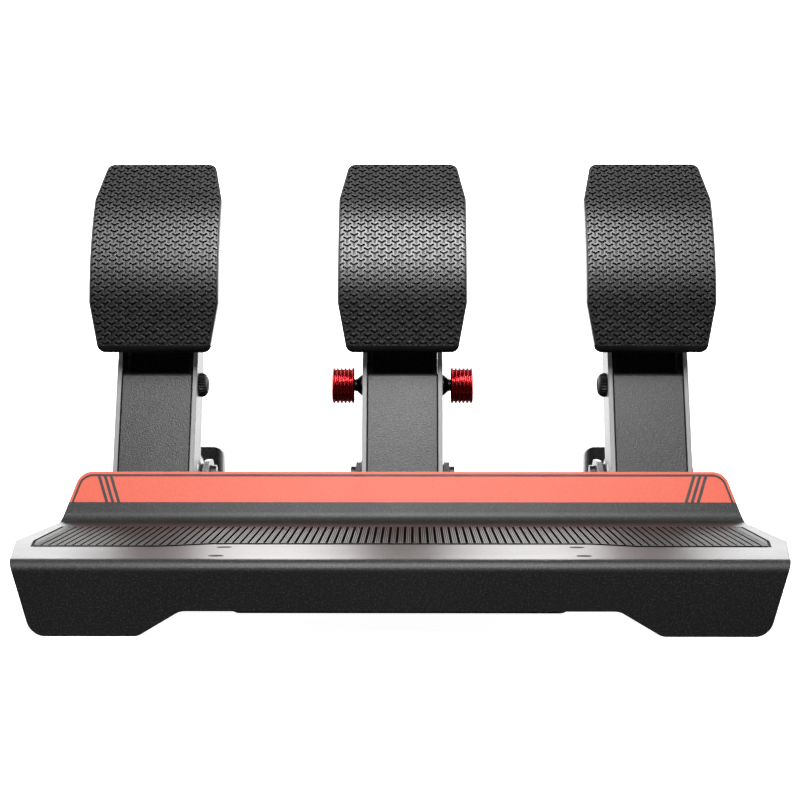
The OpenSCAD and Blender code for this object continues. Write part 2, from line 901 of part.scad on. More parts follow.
module pedal_axle(i) {
  color(zinc)
    at_pedal(i)
      translate([0, pivot_y, pivot_z]) {
        rod_x(axle_dia / 2, -axle_end - 1, axle_end + axle_nut_h + 1);
        hex_x(axle_nut_r, -axle_end - axle_nut_h, -axle_end);
        difference() {
          hex_x(axle_nut_r, axle_end, axle_end + axle_nut_h);
          rod_x(axle_dia / 2 + seat_clear, axle_end - 1, axle_end + axle_nut_h + 1);
        }
      }
}

module rod_pin(i) {
  sleeve_r = rod_r + 2;
  color(zinc)
    at_pedal(i)
      on_arm()
        translate([0, rod_v, rod_u]) {
          rod_x(rod_r, -arm_w / 2, arm_w / 2);
          for (side = [0, 1])
            mirror([side, 0, 0])
              difference() {
                rod_x(sleeve_r, eye_w / 2 + stop_gap, arm_in);
                rod_x(rod_r + seat_clear, 0, arm_w);
              }
        }
}

// Push rods
module push_rod(i) {
  color(zinc)
    at_pedal(i)
      on_rod()
        difference() {
          union() {
            rod_x(eye_r, -eye_w / 2, eye_w / 2);
            rod_y(rod_r + 1, eye_r - 2, eye_r + 10);
            rod_y(rod_r, eye_r, rod_l + rod_tail);
          }
          rod_x(rod_r + run_clear, -eye_w, eye_w);
        }
}

module preload_nut(i) {
  grips = 18;
  grip_r = 1.2;
  s = preload_s(i);
  color(red)
    at_pedal(i)
      on_rod()
        translate([0, s, 0])
          difference() {
            union() {
              rod_y(preload_r, 0, preload_t);
              rod_y(preload_r - 4, -preload_hub, 1);
            }
            rod_y(rod_r + seat_clear, -preload_hub - 1, preload_t + 1);
            for (k = [0:grips - 1])
              rotate([0, k * 360 / grips, 0])
                translate([preload_r + grip_r / 2, 0, 0])
                  rod_y(grip_r, -1, preload_t + 1);
          }
}

module stop_nut(i) {
  s = rod_l + frame_t / cos(rod_fall) + stop_gap + rod_r * sin(rod_fall) + 0.6;
  washer_r = stop_nut_r + 2;
  color(dark_steel)
    at_pedal(i)
      on_rod()
        difference() {
          union() {
            rod_y(washer_r, s, s + stop_washer_t);
            translate([0, s + stop_washer_t - 0.5, 0])
              rotate([-90, 0, 0])
                cylinder(r = stop_nut_r, h = stop_nut_h + 0.5, $fn = 6);
          }
          rod_y(rod_r + seat_clear, s - 1, s + stop_washer_t + stop_nut_h + 1);
        }
}

// Spring: one helical tube along +Y from the preload nut to the guide, straight at both ends
function spring_length(i) = guide_front(i) - spring_seat - stop_gap;
function helix_turn(k) = 360 * k / curl_steps;
function spring_path(l) =
  let (
    r = spring_dia / 2,
    steps = spring_curls * curl_steps,
    rise = (l - 2 * spring_wire) / steps,
    coil = [for (k = [0:steps]) [r * cos(helix_turn(k)), spring_wire + rise * k, r * sin(helix_turn(k))]]
  )
  concat([[r, 0, 0]], coil, [coil[steps] + [0, spring_wire, 0]]);
function ring_turn(k, steps) = helix_turn(max(0, min(steps, k - 1)));
function spring_ring(path, k) =
  let (
    n = len(path),
    steps = n - 3,
    a = ring_turn(k, steps),
    out = [cos(a), 0, sin(a)],
    ahead = unit(path[min(n - 1, k + 1)] - path[max(0, k - 1)]),
    up = unit(cross(ahead, out)),
    side = cross(up, ahead)
  )
  [for (j = [0:wire_sides - 1])
    path[k] + spring_wire / 2 * (cos(360 * j / wire_sides) * side + sin(360 * j / wire_sides) * up)];
function least_gap(path) = min([
  for (a = [0:len(path) - 1])
    for (b = [a + 5:1:len(path) - 1])
      norm(path[a] - path[b]) - spring_wire]);

module return_spring(i) {
  path = spring_path(spring_length(i));
  n = len(path);
  w = wire_sides;
  rings = [for (k = [0:n - 1]) each spring_ring(path, k)];
  walls = [for (k = [0:n - 2]) for (j = [0:w - 1])
    each [[k * w + j, k * w + (j + 1) % w, (k + 1) * w + j],
          [k * w + (j + 1) % w, (k + 1) * w + (j + 1) % w, (k + 1) * w + j]]];
  caps = [for (j = [1:w - 2]) each [[0, j + 1, j], [(n - 1) * w, (n - 1) * w + j, (n - 1) * w + j + 1]]];
  echo(least_gap_of_spring = least_gap(path));
  color(bright_steel)
    at_pedal(i)
      on_rod()
        translate([0, spring_seat + stop_gap / 2, 0])
          polyhedron(points = rings, faces = concat(walls, caps));
}

module brake_elastomer() {
  puck = (stack_l - stop_gap) / stack_pucks;
  bulge = 2;
  waist_r = preload_r - bulge;
  steps = 8;
  rim = [for (p = [0:stack_pucks - 1]) for (k = [0:steps])
    [waist_r + bulge * sin(180 * k / steps) + (k == 0 || k == steps ? 0 : 0.4), (p + k / steps) * puck]];
  bore = rod_r + 2 * guide_clear;
  color(rubber)
    at_pedal(BRAKE)
      on_rod()
        translate([0, preload_s(BRAKE) + preload_t + stop_gap / 2, 0])
          rotate([-90, 0, 0])
            rotate_extrude()
              polygon(concat([[bore, 0]], rim, [[bore, stack_pucks * puck]]));
}

// Pads. A layer lies behind the pad's face: a curved middle and two tapered end flats
module pad_layer(behind, t) {
  half = pad_bend_angle / 2;
  sag = pad_bend_r * (1 - cos(half)) + pad_flat * sin(half);
  centre = pad_bend_r - sag;
  outer = pad_bend_r - behind;
  reach = 2 * pad_bend_r;
  lap = 0.1;
  translate([0, centre, 0]) {
    along_x(pad_w)
      intersection() {
        difference() {
          circle(r = outer, $fn = 180);
          circle(r = outer - t, $fn = 180);
        }
        polygon([[0, 0], [-reach * cos(half), -reach * sin(half)], [-reach * cos(half), reach * sin(half)]]);
      }
    for (end = [0, 1])
      mirror([0, 0, end])
        rotate([-half, 0, 0])
          along_y(-outer, t)
            polygon(rounded([
              [-pad_w / 2, -lap], [pad_w / 2, -lap], [pad_w / 2 - pad_chamfer, pad_flat, pad_corner_r],
              [pad_chamfer - pad_w / 2, pad_flat, pad_corner_r]
            ]));
  }
}

module pad_tread(i) {
  color(rubber)
    at_pedal(i)
      on_pad()
        pad_layer(0, tread_t);
}

module pad_plate(i) {
  color(coat)
    at_pedal(i)
      on_pad()
        pad_layer(tread_t, pad_plate_t);
}

module pad_bracket(i) {
  boss_r = 9;
  outer = arm_in - bracket_gap;
  back_r = pad_bend_r - tread_t - pad_plate_t - seat_clear;
  half = pad_bend_angle / 2;
  sag = pad_bend_r * (1 - cos(half)) + pad_flat * sin(half);
  seat_u = pad_u - clamp_u;
  seat_v = clamp_fwd - pad_fwd;
  reach = 24;
  web_u = 5;
  web_l = 29;
  outline = rounded([
    [-boss_r, 0], [-boss_r, 12, 4], [seat_v - 5, seat_u - reach], [seat_v - 18, seat_u - reach],
    [seat_v - 18, seat_u + reach], [seat_v - 2, seat_u + reach], [boss_r, 28, 12], [boss_r, 0]
  ]);
  tube_r = clamp_r(i) + 3;
  color(coat)
    at_pedal(i)
      difference() {
        union() {
          intersection() {
            at_clamp()
              for (side = SIDES)
                translate([side * (outer - arm_t / 2), 0, 0])
                  along_x(arm_t) {
                    polygon(outline);
                    circle(r = boss_r);
                  }
            on_pad()
              translate([0, pad_bend_r - sag, 0])
                rotate([0, 90, 0])
                  cylinder(r = back_r, h = pad_w, center = true, $fn = 180);
          }
          at_clamp() {
            rod_x(tube_r, arm_t / 2 - outer, outer - arm_t / 2);
            translate([arm_t / 2 - outer, 1, web_u])
              cube([2 * outer - arm_t, arm_t, web_l]);
          }
        }
        at_clamp()
          rod_x(clamp_r(i) + run_clear, -arm_w, arm_w);
      }
}

// Clamps
module clamp_bolt(i) {
  head_t = 5;
  socket_r = 3.5;
  color(dark_steel)
    at_pedal(i)
      at_clamp()
        towards_middle(i)
          difference() {
            union() {
              rod_x(clamp_r(i), -arm_w / 2, arm_w / 2 + 1);
              rod_x(clamp_head_dia / 2, arm_w / 2, arm_w / 2 + head_t);
            }
            hex_x(socket_r, arm_w / 2 + 2, arm_w / 2 + head_t + 1);
          }
}

knob_gap = 4.6;
knob_x = arm_w / 2 + knob_gap;
knob_cap = 2.4;

module brake_clamp_stud() {
  cone_r = clamp_r(BRAKE) + 2.9;
  neck_r = clamp_r(BRAKE) + 0.6;
  stud_end = knob_x + knob_l - knob_cap - seat_clear;
  color(dark_steel)
    at_pedal(BRAKE)
      at_clamp() {
        rod_x(clamp_r(BRAKE), -stud_end, stud_end);
        for (side = [0, 1])
          mirror([side, 0, 0])
            difference() {
              translate([arm_w / 2, 0, 0])
                rotate([0, 90, 0]) {
                  cylinder(r = cone_r, h = 1);
                  translate([0, 0, 1])
                    cylinder(r1 = cone_r, r2 = neck_r, h = 2.4);
                  cylinder(r = neck_r, h = knob_gap - stop_gap / 4);
                }
              rod_x(clamp_r(BRAKE) + seat_clear, 0, knob_x + 1);
            }
      }
}

module clamp_knob(side) {
  r = knob_dia / 2;
  pitch = knob_l / knob_fins;
  groove = 0.9;
  steps = 6;
  rim = [for (f = [0:knob_fins - 1]) for (k = [0:steps])
    [r - groove + groove * sin(180 * k / steps), (f + k / steps * 0.98) * pitch]];
  color(red)
    at_pedal(BRAKE)
      at_clamp()
        mirror([side, 0, 0])
          difference() {
            translate([knob_x, 0, 0])
              rotate([0, 90, 0])
                rotate_extrude()
                  polygon(concat([[0, 0]], rim, [[0, rim[len(rim) - 1][1]]]));
            rod_x(clamp_r(BRAKE) + run_clear, 0, knob_x + knob_l - knob_cap);
          }
}

// Control box behind the space between brake and throttle
box_x = pedal_pitch / 2;
box_y = base_rear - 4 - box_d / 2;
socket_w = 12;
socket_h = 11;
socket_gap = 14;
board_t = 2.6;

module box_block(w, d, h) {
  linear_extrude(h)
    polygon(rounded([
      [-w / 2, -d / 2, 3], [w / 2, -d / 2, 3], [w / 2, d / 2, 3], [-w / 2, d / 2, 3]
    ]));
}

module at_sockets() {
  for (k = [-1.5:1.5])
    translate([box_x + k * socket_gap - socket_w / 2, box_y + box_d / 2 - 10, deck_top + box_wall + 3])
      children();
}

module control_box() {
  color(moulding)
    difference() {
      translate([box_x, box_y, deck_top])
        box_block(box_w, box_d, box_h - box_wall);
      translate([box_x, box_y, deck_top + box_wall])
        box_block(box_w - 2 * box_wall, box_d - 2 * box_wall, box_h);
      at_sockets()
        translate([-hole_clear, 0, -hole_clear])
          cube([socket_w + 2 * hole_clear, 20, socket_h + 2 * hole_clear]);
    }
}

module control_lid() {
  rim_in = 2 * (box_wall + hole_clear);
  color(moulding) {
    translate([box_x, box_y, deck_top + box_h - box_wall])
      box_block(box_w, box_d, box_wall);
    translate([box_x, box_y, deck_top + box_h - 2 * box_wall])
      difference() {
        box_block(box_w - rim_in, box_d - rim_in, box_wall + 0.5);
        translate([0, 0, -1])
          box_block(box_w - 5 * box_wall, box_d - 5 * box_wall, box_wall + 3);
      }
  }
}

module control_board() {
  color(board_green)
    translate([box_x, box_y, deck_top + box_wall])
      box_block(box_w - 3 * box_wall, box_d - 3 * box_wall, board_t);
}

module sockets() {
  color(zinc)
    at_sockets()
      difference() {
        cube([socket_w, 11, socket_h]);
        translate([1.2, 3, 1.2])
          cube([socket_w - 2.4, 9, socket_h - 2.4]);
      }
}

heel_plate();
heel_mat();
mount_tray();
heel_screws();
deck();
feet();
frame_bolts();
side_screws();
stop_bumpers();
pivot_bushes();
rod_guides();
control_box();
control_lid();
control_board();
sockets();
pedal_frame(CLUTCH);  // clutch_frame
pedal_frame(BRAKE);  // brake_frame
pedal_frame(THROTTLE);  // throttle_frame
pedal_axle(CLUTCH);  // clutch_axle
pedal_axle(BRAKE);  // brake_axle
mirror([1, 0, 0]) pedal_axle(CLUTCH);  // throttle_axle
pedal_arm(CLUTCH);  // clutch_arm
pedal_arm(BRAKE);  // brake_arm
pedal_arm(THROTTLE);  // throttle_arm
pad_bracket(CLUTCH);  // clutch_pad_bracket
pad_bracket(BRAKE);  // brake_pad_bracket
pad_bracket(THROTTLE);  // throttle_pad_bracket
pad_plate(CLUTCH);  // clutch_pad_plate
pad_plate(BRAKE);  // brake_pad_plate
pad_plate(THROTTLE);  // throttle_pad_plate
pad_tread(CLUTCH);  // clutch_pad_tread
pad_tread(BRAKE);  // brake_pad_tread
pad_tread(THROTTLE);  // throttle_pad_tread
rod_pin(CLUTCH);  // clutch_rod_pin
rod_pin(BRAKE);  // brake_rod_pin
rod_pin(THROTTLE);  // throttle_rod_pin
push_rod(CLUTCH);  // clutch_push_rod
push_rod(BRAKE);  // brake_push_rod
push_rod(THROTTLE);  // throttle_push_rod
preload_nut(CLUTCH);  // clutch_preload_nut
preload_nut(BRAKE);  // brake_preload_nut
preload_nut(THROTTLE);  // throttle_preload_nut
stop_nut(CLUTCH);  // clutch_stop_nut
stop_nut(BRAKE);  // brake_stop_nut
stop_nut(THROTTLE);  // throttle_stop_nut
pedal_tower(CLUTCH);  // clutch_tower
pedal_tower(BRAKE);  // brake_tower
pedal_tower(THROTTLE);  // throttle_tower
return_spring(CLUTCH);  // clutch_spring
brake_elastomer();
return_spring(THROTTLE);  // throttle_spring
pedal_sensor(CLUTCH);  // clutch_sensor
load_cell();  // brake_load_cell
pedal_sensor(THROTTLE);  // throttle_sensor
clamp_bolt(CLUTCH);  // clutch_clamp_bolt
brake_clamp_stud();
clamp_bolt(THROTTLE);  // throttle_clamp_bolt
clamp_knob(1);  // brake_knob_left
clamp_knob(0);  // brake_knob_right
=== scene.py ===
import math

import bmesh
import bpy
from mathutils import Matrix, Vector


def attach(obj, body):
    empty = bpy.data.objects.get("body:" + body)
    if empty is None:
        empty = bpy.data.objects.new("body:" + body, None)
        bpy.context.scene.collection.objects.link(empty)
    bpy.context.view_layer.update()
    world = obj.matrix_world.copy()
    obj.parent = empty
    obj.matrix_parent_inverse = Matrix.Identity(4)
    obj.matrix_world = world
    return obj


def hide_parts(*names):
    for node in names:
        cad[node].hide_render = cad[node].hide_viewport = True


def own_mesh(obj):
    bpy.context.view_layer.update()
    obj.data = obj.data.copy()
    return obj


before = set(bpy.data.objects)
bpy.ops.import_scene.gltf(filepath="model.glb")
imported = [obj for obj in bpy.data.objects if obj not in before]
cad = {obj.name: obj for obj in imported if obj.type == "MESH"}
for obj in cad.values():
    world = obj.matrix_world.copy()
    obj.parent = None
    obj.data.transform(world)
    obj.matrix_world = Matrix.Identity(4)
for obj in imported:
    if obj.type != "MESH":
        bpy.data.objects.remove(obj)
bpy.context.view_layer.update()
scene = bpy.context.scene

# Lengths are in metres. Y runs from the driver to the back of the set.
MM = 0.001
PEDAL_X = {"clutch": -140 * MM, "brake": 0.0, "throttle": 140 * MM}
SIDES = (-1, 1)
PIVOT = Vector((0, 13.5 * MM, 31.2 * MM))
ARM_LEAN = math.radians(18.7)
PAD_LEAN = math.radians(19.7)
ROD_PIN = Vector((0, 26.601 * MM, 60.549 * MM))
ROD_FALL = math.radians(2.7617)
Y_TO_X = Matrix.Rotation(-math.pi / 2, 4, "Z")
Y_TO_Z = Matrix.Rotation(math.pi / 2, 4, "X")


# Finishes
def finish_shader(name):
    finish = bpy.data.materials.new(name)
    finish.use_nodes = True
    return finish, finish.node_tree, finish.node_tree.nodes["Principled BSDF"]


def add_node(tree, kind, **values):
    made = tree.nodes.new("ShaderNode" + kind)
    for key, value in values.items():
        made.inputs[key].default_value = value
    return made


def place_of(tree):
    return tree.nodes.new("ShaderNodeTexCoord").outputs["Object"]


def grain(tree, size, detail=2.0):
    """Noise whose bumps are about size metres across."""
    noise = add_node(tree, "TexNoise", Scale=1 / size, Detail=detail, Roughness=0.55)
    tree.links.new(place_of(tree), noise.inputs["Vector"])
    return noise.outputs["Fac"]


def spread(tree, source, low, high):
    """Maps the middle of a noise to the span from low to high."""
    span = {"From Min": 0.3, "From Max": 0.7, "To Min": low, "To Max": high}
    ranged = add_node(tree, "MapRange", **span)
    tree.links.new(source, ranged.inputs["Value"])
    return ranged.outputs["Result"]


def blend_colours(tree, share, first, second):
    mix = tree.nodes.new("ShaderNodeMix")
    mix.data_type = "RGBA"
    tree.links.new(share, mix.inputs["Factor"])
    for index, colour in ((6, first), (7, second)):
        if isinstance(colour, bpy.types.NodeSocket):
            tree.links.new(colour, mix.inputs[index])
        else:
            mix.inputs[index].default_value = (*colour, 1)
    return mix.outputs[2]


def bump(tree, shader, height, depth, strength, edge=0.0):
    """Raises the surface by height times depth, over edges rounded by edge metres."""
    made = add_node(tree, "Bump", Strength=strength, Distance=depth)
    tree.links.new(height, made.inputs["Height"])
    if edge:
        rounded = tree.nodes.new("ShaderNodeBevel")
        rounded.samples = 4
        rounded.inputs["Radius"].default_value = edge
        tree.links.new(rounded.outputs["Normal"], made.inputs["Normal"])
    tree.links.new(made.outputs["Normal"], shader.inputs["Normal"])


def step_over(tree, value, edge, soft):
    """Rises from 0 to 1 as value passes edge, over soft on either side of it."""
    span = {"From Min": edge - soft, "From Max": edge + soft}
    ranged = add_node(tree, "MapRange", **span)
    ranged.interpolation_type = "SMOOTHSTEP"
    tree.links.new(value, ranged.inputs["Value"])
    return ranged.outputs["Result"]


def calculate(tree, operation, *values):
    """A sum on numbers or sockets."""
    made = tree.nodes.new("ShaderNodeMath")
    made.operation = operation
    for socket, value in zip(made.inputs, values):
        if isinstance(value, bpy.types.NodeSocket):
            tree.links.new(value, socket)
        else:
            socket.default_value = value
    return made.outputs["Value"]


# Places that bound the finishes on one piece
TOE_Y, HEEL_TOP, TOE_TOP, TOE_LEAN = -13 * MM, 34.7 * MM, 61.8 * MM, math.radians(20)
TOE_SLOPE = math.tan(TOE_LEAN)
BAND_LOW, BAND_DEEP = 45.3 * MM, 1.2 * MM
ARM_AHEAD, ARM_INSIDE, EDGE_BACK, SEAM_W = 15.8 * MM, 20.3 * MM, 0.15 * MM, 0.9 * MM
POCKET_TOP, POCKET_FRONT, POCKET_HALF = 34.65 * MM, -145 * MM, 184 * MM
WORN_UNSHADED_Z, MAT_BORDER_X, MAT_BORDER_Z = 35.16 * MM, 177.5 * MM, 34.55 * MM


def split_place(tree):
    place = tree.nodes.new("ShaderNodeSeparateXYZ")
    tree.links.new(place_of(tree), place.inputs["Vector"])
    return place


def band_mask(tree):
    """One on the painted band of the toe stop's front face."""
    place = split_place(tree)
    above = step_over(tree, place.outputs["Z"], BAND_LOW, 0.06 * MM)
    rise = calculate(tree, "SUBTRACT", place.outputs["Z"], HEEL_TOP)
    front = calculate(tree, "MULTIPLY_ADD", rise, TOE_SLOPE, TOE_Y)
    behind = calculate(tree, "SUBTRACT", place.outputs["Y"], front)
    near = calculate(tree, "LESS_THAN", behind, BAND_DEEP)
    return calculate(tree, "MULTIPLY", above, near)


def pocket_mask(tree):
    """One in the gap round the mat, which gets painted shade."""
    place = split_place(tree)
    low = calculate(tree, "LESS_THAN", place.outputs["Z"], POCKET_TOP)
    rear = calculate(tree, "GREATER_THAN", place.outputs["Y"], POCKET_FRONT)
    across = calculate(tree, "ABSOLUTE", place.outputs["X"])
    inside = calculate(tree, "LESS_THAN", across, POCKET_HALF)
    return calculate(tree, "MULTIPLY", low, calculate(tree, "MULTIPLY", rear, inside))


def arm_masks(tree):
    """One on the front edges of an arm's side plates, which get a painted highlight, and one in the seams
    beside its web, which get painted shade.
    """
    place = split_place(tree)
    pedals = calculate(tree, "DIVIDE", place.outputs["X"], PEDAL_X["throttle"])
    nearest = calculate(tree, "ROUND", pedals)
    aside = calculate(tree, "ABSOLUTE", calculate(tree, "SUBTRACT", pedals, nearest))
    back = calculate(tree, "SUBTRACT", place.outputs["Y"], PIVOT.y)
    rise = calculate(tree, "SUBTRACT", place.outputs["Z"], PIVOT.z)
    lifted = calculate(tree, "MULTIPLY", rise, math.sin(ARM_LEAN))
    ahead = calculate(tree, "SUBTRACT", lifted, calculate(tree, "MULTIPLY", back, math.cos(ARM_LEAN)))
    painted_edge_highlight = calculate(tree, "GREATER_THAN", ahead, ARM_AHEAD - EDGE_BACK)
    beside = calculate(tree, "GREATER_THAN", aside, (ARM_INSIDE - SEAM_W) / PEDAL_X["throttle"])
    inside = calculate(tree, "LESS_THAN", aside, (ARM_INSIDE + 0.05 * MM) / PEDAL_X["throttle"])
    recessed = calculate(tree, "LESS_THAN", ahead, ARM_AHEAD - EDGE_BACK)
    seam_shade = calculate(tree, "MULTIPLY", recessed, calculate(tree, "MULTIPLY", beside, inside))
    return painted_edge_highlight, seam_shade


def powder_coat(name, band=False, arm=False, relief=0.35, edge=0.45 * MM, rough=(0.36, 0.42), gloss=0.5):
    """Fine-grained black powder coat. The heel plate's toe stop has a painted band. The arms get a painted
    highlight on the front edges of their side plates and painted shade in their seams; the heel plate gets
    painted shade in the gap round the mat.
    """
    finish, tree, shader = finish_shader(name)
    fine = grain(tree, 0.75 * MM, 3)
    specks = step_over(tree, fine, 0.58, 0.07)
    tone = blend_colours(tree, specks, (0.006, 0.006, 0.006), (0.030, 0.030, 0.0305))
    rough = spread(tree, grain(tree, 60 * MM), *rough)
    shader.inputs["Specular IOR Level"].default_value = gloss
    if arm:
        painted_edge_highlight, seam_shade = arm_masks(tree)
        # painted highlight: the front edges of the side plates are painted light grey for the shine of
        # rounded edges
        tone = blend_colours(tree, painted_edge_highlight, tone, (0.24, 0.24, 0.24))
        # painted shade: the seams beside the web are painted near black and made fully rough
        tone = blend_colours(tree, seam_shade, tone, (0.001, 0.001, 0.001))
        rough = calculate(tree, "MAXIMUM", rough, seam_shade)
    if band:
        paint = blend_colours(tree, spread(tree, fine, 0, 1), (0.64, 0.088, 0.044), (0.76, 0.113, 0.060))
        tone = blend_colours(tree, band_mask(tree), tone, paint)
        # painted shade: the gap round the mat is painted near black and made fully rough
        pocket_shade = pocket_mask(tree)
        tone = blend_colours(tree, pocket_shade, tone, (0.003, 0.003, 0.003))
        rough = calculate(tree, "MAXIMUM", rough, pocket_shade)
    tree.links.new(tone, shader.inputs["Base Color"])
    tree.links.new(rough, shader.inputs["Roughness"])
    bump(tree, shader, fine, 0.15 * MM, relief, edge)
    return finish


def rubber(name, dark, light, size, depth, rough, edge=0.0, gloss=0.45):
    finish, tree, shader = finish_shader(name)
    tone = blend_colours(tree, spread(tree, grain(tree, 9 * MM, 3), 0, 1), dark, light)
    tree.links.new(tone, shader.inputs["Base Color"])
    tree.links.new(spread(tree, grain(tree, 4 * MM), rough - 0.05, rough + 0.05), shader.inputs["Roughness"])
    shader.inputs["Specular IOR Level"].default_value = gloss
    bump(tree, shader, grain(tree, size), depth, 0.5, edge)
    return finish


def ribbed_rubber(name):
    """Worn satin on the tops of the ridges and on the end borders. Below them the rubber is dull, with
    painted shade that makes its colour near black.
    """
    finish, tree, shader = finish_shader(name)
    place = split_place(tree)
    ridge = step_over(tree, place.outputs["Z"], WORN_UNSHADED_Z, 0.1 * MM)
    across = calculate(tree, "ABSOLUTE", place.outputs["X"])
    end = calculate(tree, "MULTIPLY", step_over(tree, across, MAT_BORDER_X, 0.05 * MM),
                    step_over(tree, place.outputs["Z"], MAT_BORDER_Z, 0.1 * MM))
    worn_and_unshaded = calculate(tree, "MAXIMUM", ridge, calculate(tree, "MULTIPLY", end, 0.6))
    fine = grain(tree, 0.5 * MM)
    cloud = spread(tree, grain(tree, 9 * MM, 3), 0, 1)
    top = blend_colours(tree, cloud, (0.020, 0.020, 0.020), (0.032, 0.032, 0.032))
    # painted shade: below the ridge tops and end borders the rubber is painted near black
    tone = blend_colours(tree, worn_and_unshaded, (0.004, 0.004, 0.004), top)
    tree.links.new(tone, shader.inputs["Base Color"])
    dull = calculate(tree, "MULTIPLY_ADD", worn_and_unshaded, -0.54, 0.95)
    tree.links.new(dull, shader.inputs["Roughness"])
    bump(tree, shader, fine, 0.05 * MM, 0.4)
    return finish


def metal(name, dark, light, rough, stretch=(1, 1, 1), size=0.6 * MM, edge=0.2 * MM, marked=0.35, clear=0.0):
    """Bare or plated metal with fine machining marks, long along the axis with the least stretch."""
    finish, tree, shader = finish_shader(name)
    turn = add_node(tree, "Mapping", Scale=stretch)
    tree.links.new(place_of(tree), turn.inputs["Vector"])
    marks = add_node(tree, "TexNoise", Scale=1 / size, Detail=3.0)
    tree.links.new(turn.outputs["Vector"], marks.inputs["Vector"])
    tone = blend_colours(tree, spread(tree, marks.outputs["Fac"], 0, 1), dark, light)
    tree.links.new(tone, shader.inputs["Base Color"])
    tree.links.new(spread(tree, marks.outputs["Fac"], rough - 0.05, rough + 0.05), shader.inputs["Roughness"])
    shader.inputs["Metallic"].default_value = 1.0
    shader.inputs["Coat Weight"].default_value = clear
    shader.inputs["Coat Roughness"].default_value = 0.12
    bump(tree, shader, marks.outputs["Fac"], 0.02 * MM, marked, edge)
    return finish


def plastic(name, dark, light, rough, size=0.35 * MM):
    finish, tree, shader = finish_shader(name)
    fine = grain(tree, size)
    tree.links.new(blend_colours(tree, spread(tree, fine, 0, 1), dark, light), shader.inputs["Base Color"])
    tree.links.new(spread(tree, grain(tree, 12 * MM), rough - 0.04, rough + 0.04), shader.inputs["Roughness"])
    shader.inputs["Specular IOR Level"].default_value = 0.45
    bump(tree, shader, fine, 0.05 * MM, 0.4, 0.3 * MM)
    return finish


coat = powder_coat("black_powder_coat")
arm_coat = powder_coat("arm_powder_coat", arm=True, relief=0.9, edge=0.8 * MM)
heel_coat = powder_coat("heel_plate_coat_and_band", band=True, rough=(0.42, 0.46), gloss=0.42)
dull_coat = powder_coat("dull_black_coat", rough=(0.8, 0.9), gloss=0.2)
stripe_ink = plastic("dark_stripe_paint", (0.012, 0.012, 0.013), (0.020, 0.020, 0.021), 0.45)
mat_rubber = ribbed_rubber("heel_mat_rubber")
# painted shade: the groove floors of the mat take this near-black rubber with no specular
groove_shade_rubber = rubber("heel_mat_groove_painted_shade", (0.002, 0.002, 0.002), (0.005, 0.005, 0.005), 0.5 * MM, 0.05 * MM,
                       0.94, gloss=0.0)
tread_rubber = rubber("tread_rubber", (0.005, 0.005, 0.005), (0.009, 0.009, 0.009), 0.4 * MM, 0.05 * MM,
                      0.36, edge=0.35 * MM, gloss=0.85)
# painted shade: the tread's recesses take this darker rubber
recess_shade_rubber = rubber("tread_recess_painted_shade", (0.001, 0.001, 0.001), (0.003, 0.003, 0.003), 0.4 * MM, 0.05 * MM,
                       0.42, gloss=0.5)
# painted shade: the rolled lower lip of the tread takes this darker, dull rubber
lip_shade_rubber = rubber("tread_lip_painted_shade", (0.002, 0.002, 0.002), (0.005, 0.005, 0.005), 0.4 * MM, 0.05 * MM, 0.8,
                    gloss=0.2)
soft_rubber = rubber("black_rubber", (0.012, 0.012, 0.012), (0.022, 0.022, 0.022), 0.6 * MM, 0.06 * MM, 0.6)
puck_rubber = rubber("elastomer_pucks", (0.018, 0.018, 0.022), (0.03, 0.03, 0.036), 1.5 * MM, 0.03 * MM, 0.36)
black_screw = metal("black_oxide_steel", (0.020, 0.020, 0.022), (0.045, 0.045, 0.048), 0.38)
zinc = metal("bright_zinc", (0.46, 0.47, 0.49), (0.66, 0.67, 0.69), 0.30)
spring_wire = metal("spring_wire", (0.34, 0.35, 0.37), (0.52, 0.53, 0.55), 0.28)
red_metal = metal("red_anodised", (0.52, 0.004, 0.012), (0.58, 0.006, 0.016), 0.2, size=5 * MM, marked=0.0,
                  clear=0.8)
grip_black = plastic("black_grip", (0.003, 0.003, 0.003), (0.007, 0.007, 0.007), 0.5)
alloy = metal("milled_alloy", (0.24, 0.245, 0.26), (0.36, 0.365, 0.38), 0.42, stretch=(1, 8, 8))
nylon = plastic("natural_nylon", (0.62, 0.60, 0.55), (0.74, 0.72, 0.67), 0.42)
moulding = plastic("black_moulding", (0.016, 0.016, 0.017), (0.030, 0.030, 0.032), 0.48)
plated = metal("plated_sheet", (0.45, 0.45, 0.46), (0.62, 0.62, 0.63), 0.27)
board = plastic("solder_mask", (0.008, 0.075, 0.032), (0.016, 0.12, 0.055), 0.3, 1.8 * MM)

CAD_FINISH = {
    "heel_plate": heel_coat,
    "heel_screws": dull_coat,
    "frame_bolts": black_screw,
    "side_screws": black_screw,
    "brake_clamp_stud": black_screw,
    "pivot_bushes": nylon,
    "rod_guides": nylon,
    "control_box": moulding,
    "control_lid": moulding,
    "control_board": board,
    "sockets": plated,
    "brake_load_cell": alloy,
}
for pedal in PEDAL_X:
    CAD_FINISH[pedal + "_arm"] = arm_coat
    CAD_FINISH[pedal + "_pad_bracket"] = dull_coat
    CAD_FINISH[pedal + "_axle"] = zinc
    CAD_FINISH[pedal + "_rod_pin"] = zinc
    CAD_FINISH[pedal + "_sensor"] = moulding
    CAD_FINISH[pedal + "_preload_nut"] = red_metal
    CAD_FINISH[pedal + "_stop_nut"] = black_screw
for name, part in cad.items():
    part.data.materials.clear()
    part.data.materials.append(CAD_FINISH.get(name, coat))


# Pieces
def verts_of(made):
    return [item for item in made["geom"] if isinstance(item, bmesh.types.BMVert)]


def tidy(shape):
    bmesh.ops.remove_doubles(shape, verts=shape.verts, dist=0.002 * MM)
    bmesh.ops.recalc_face_normals(shape, faces=shape.faces)


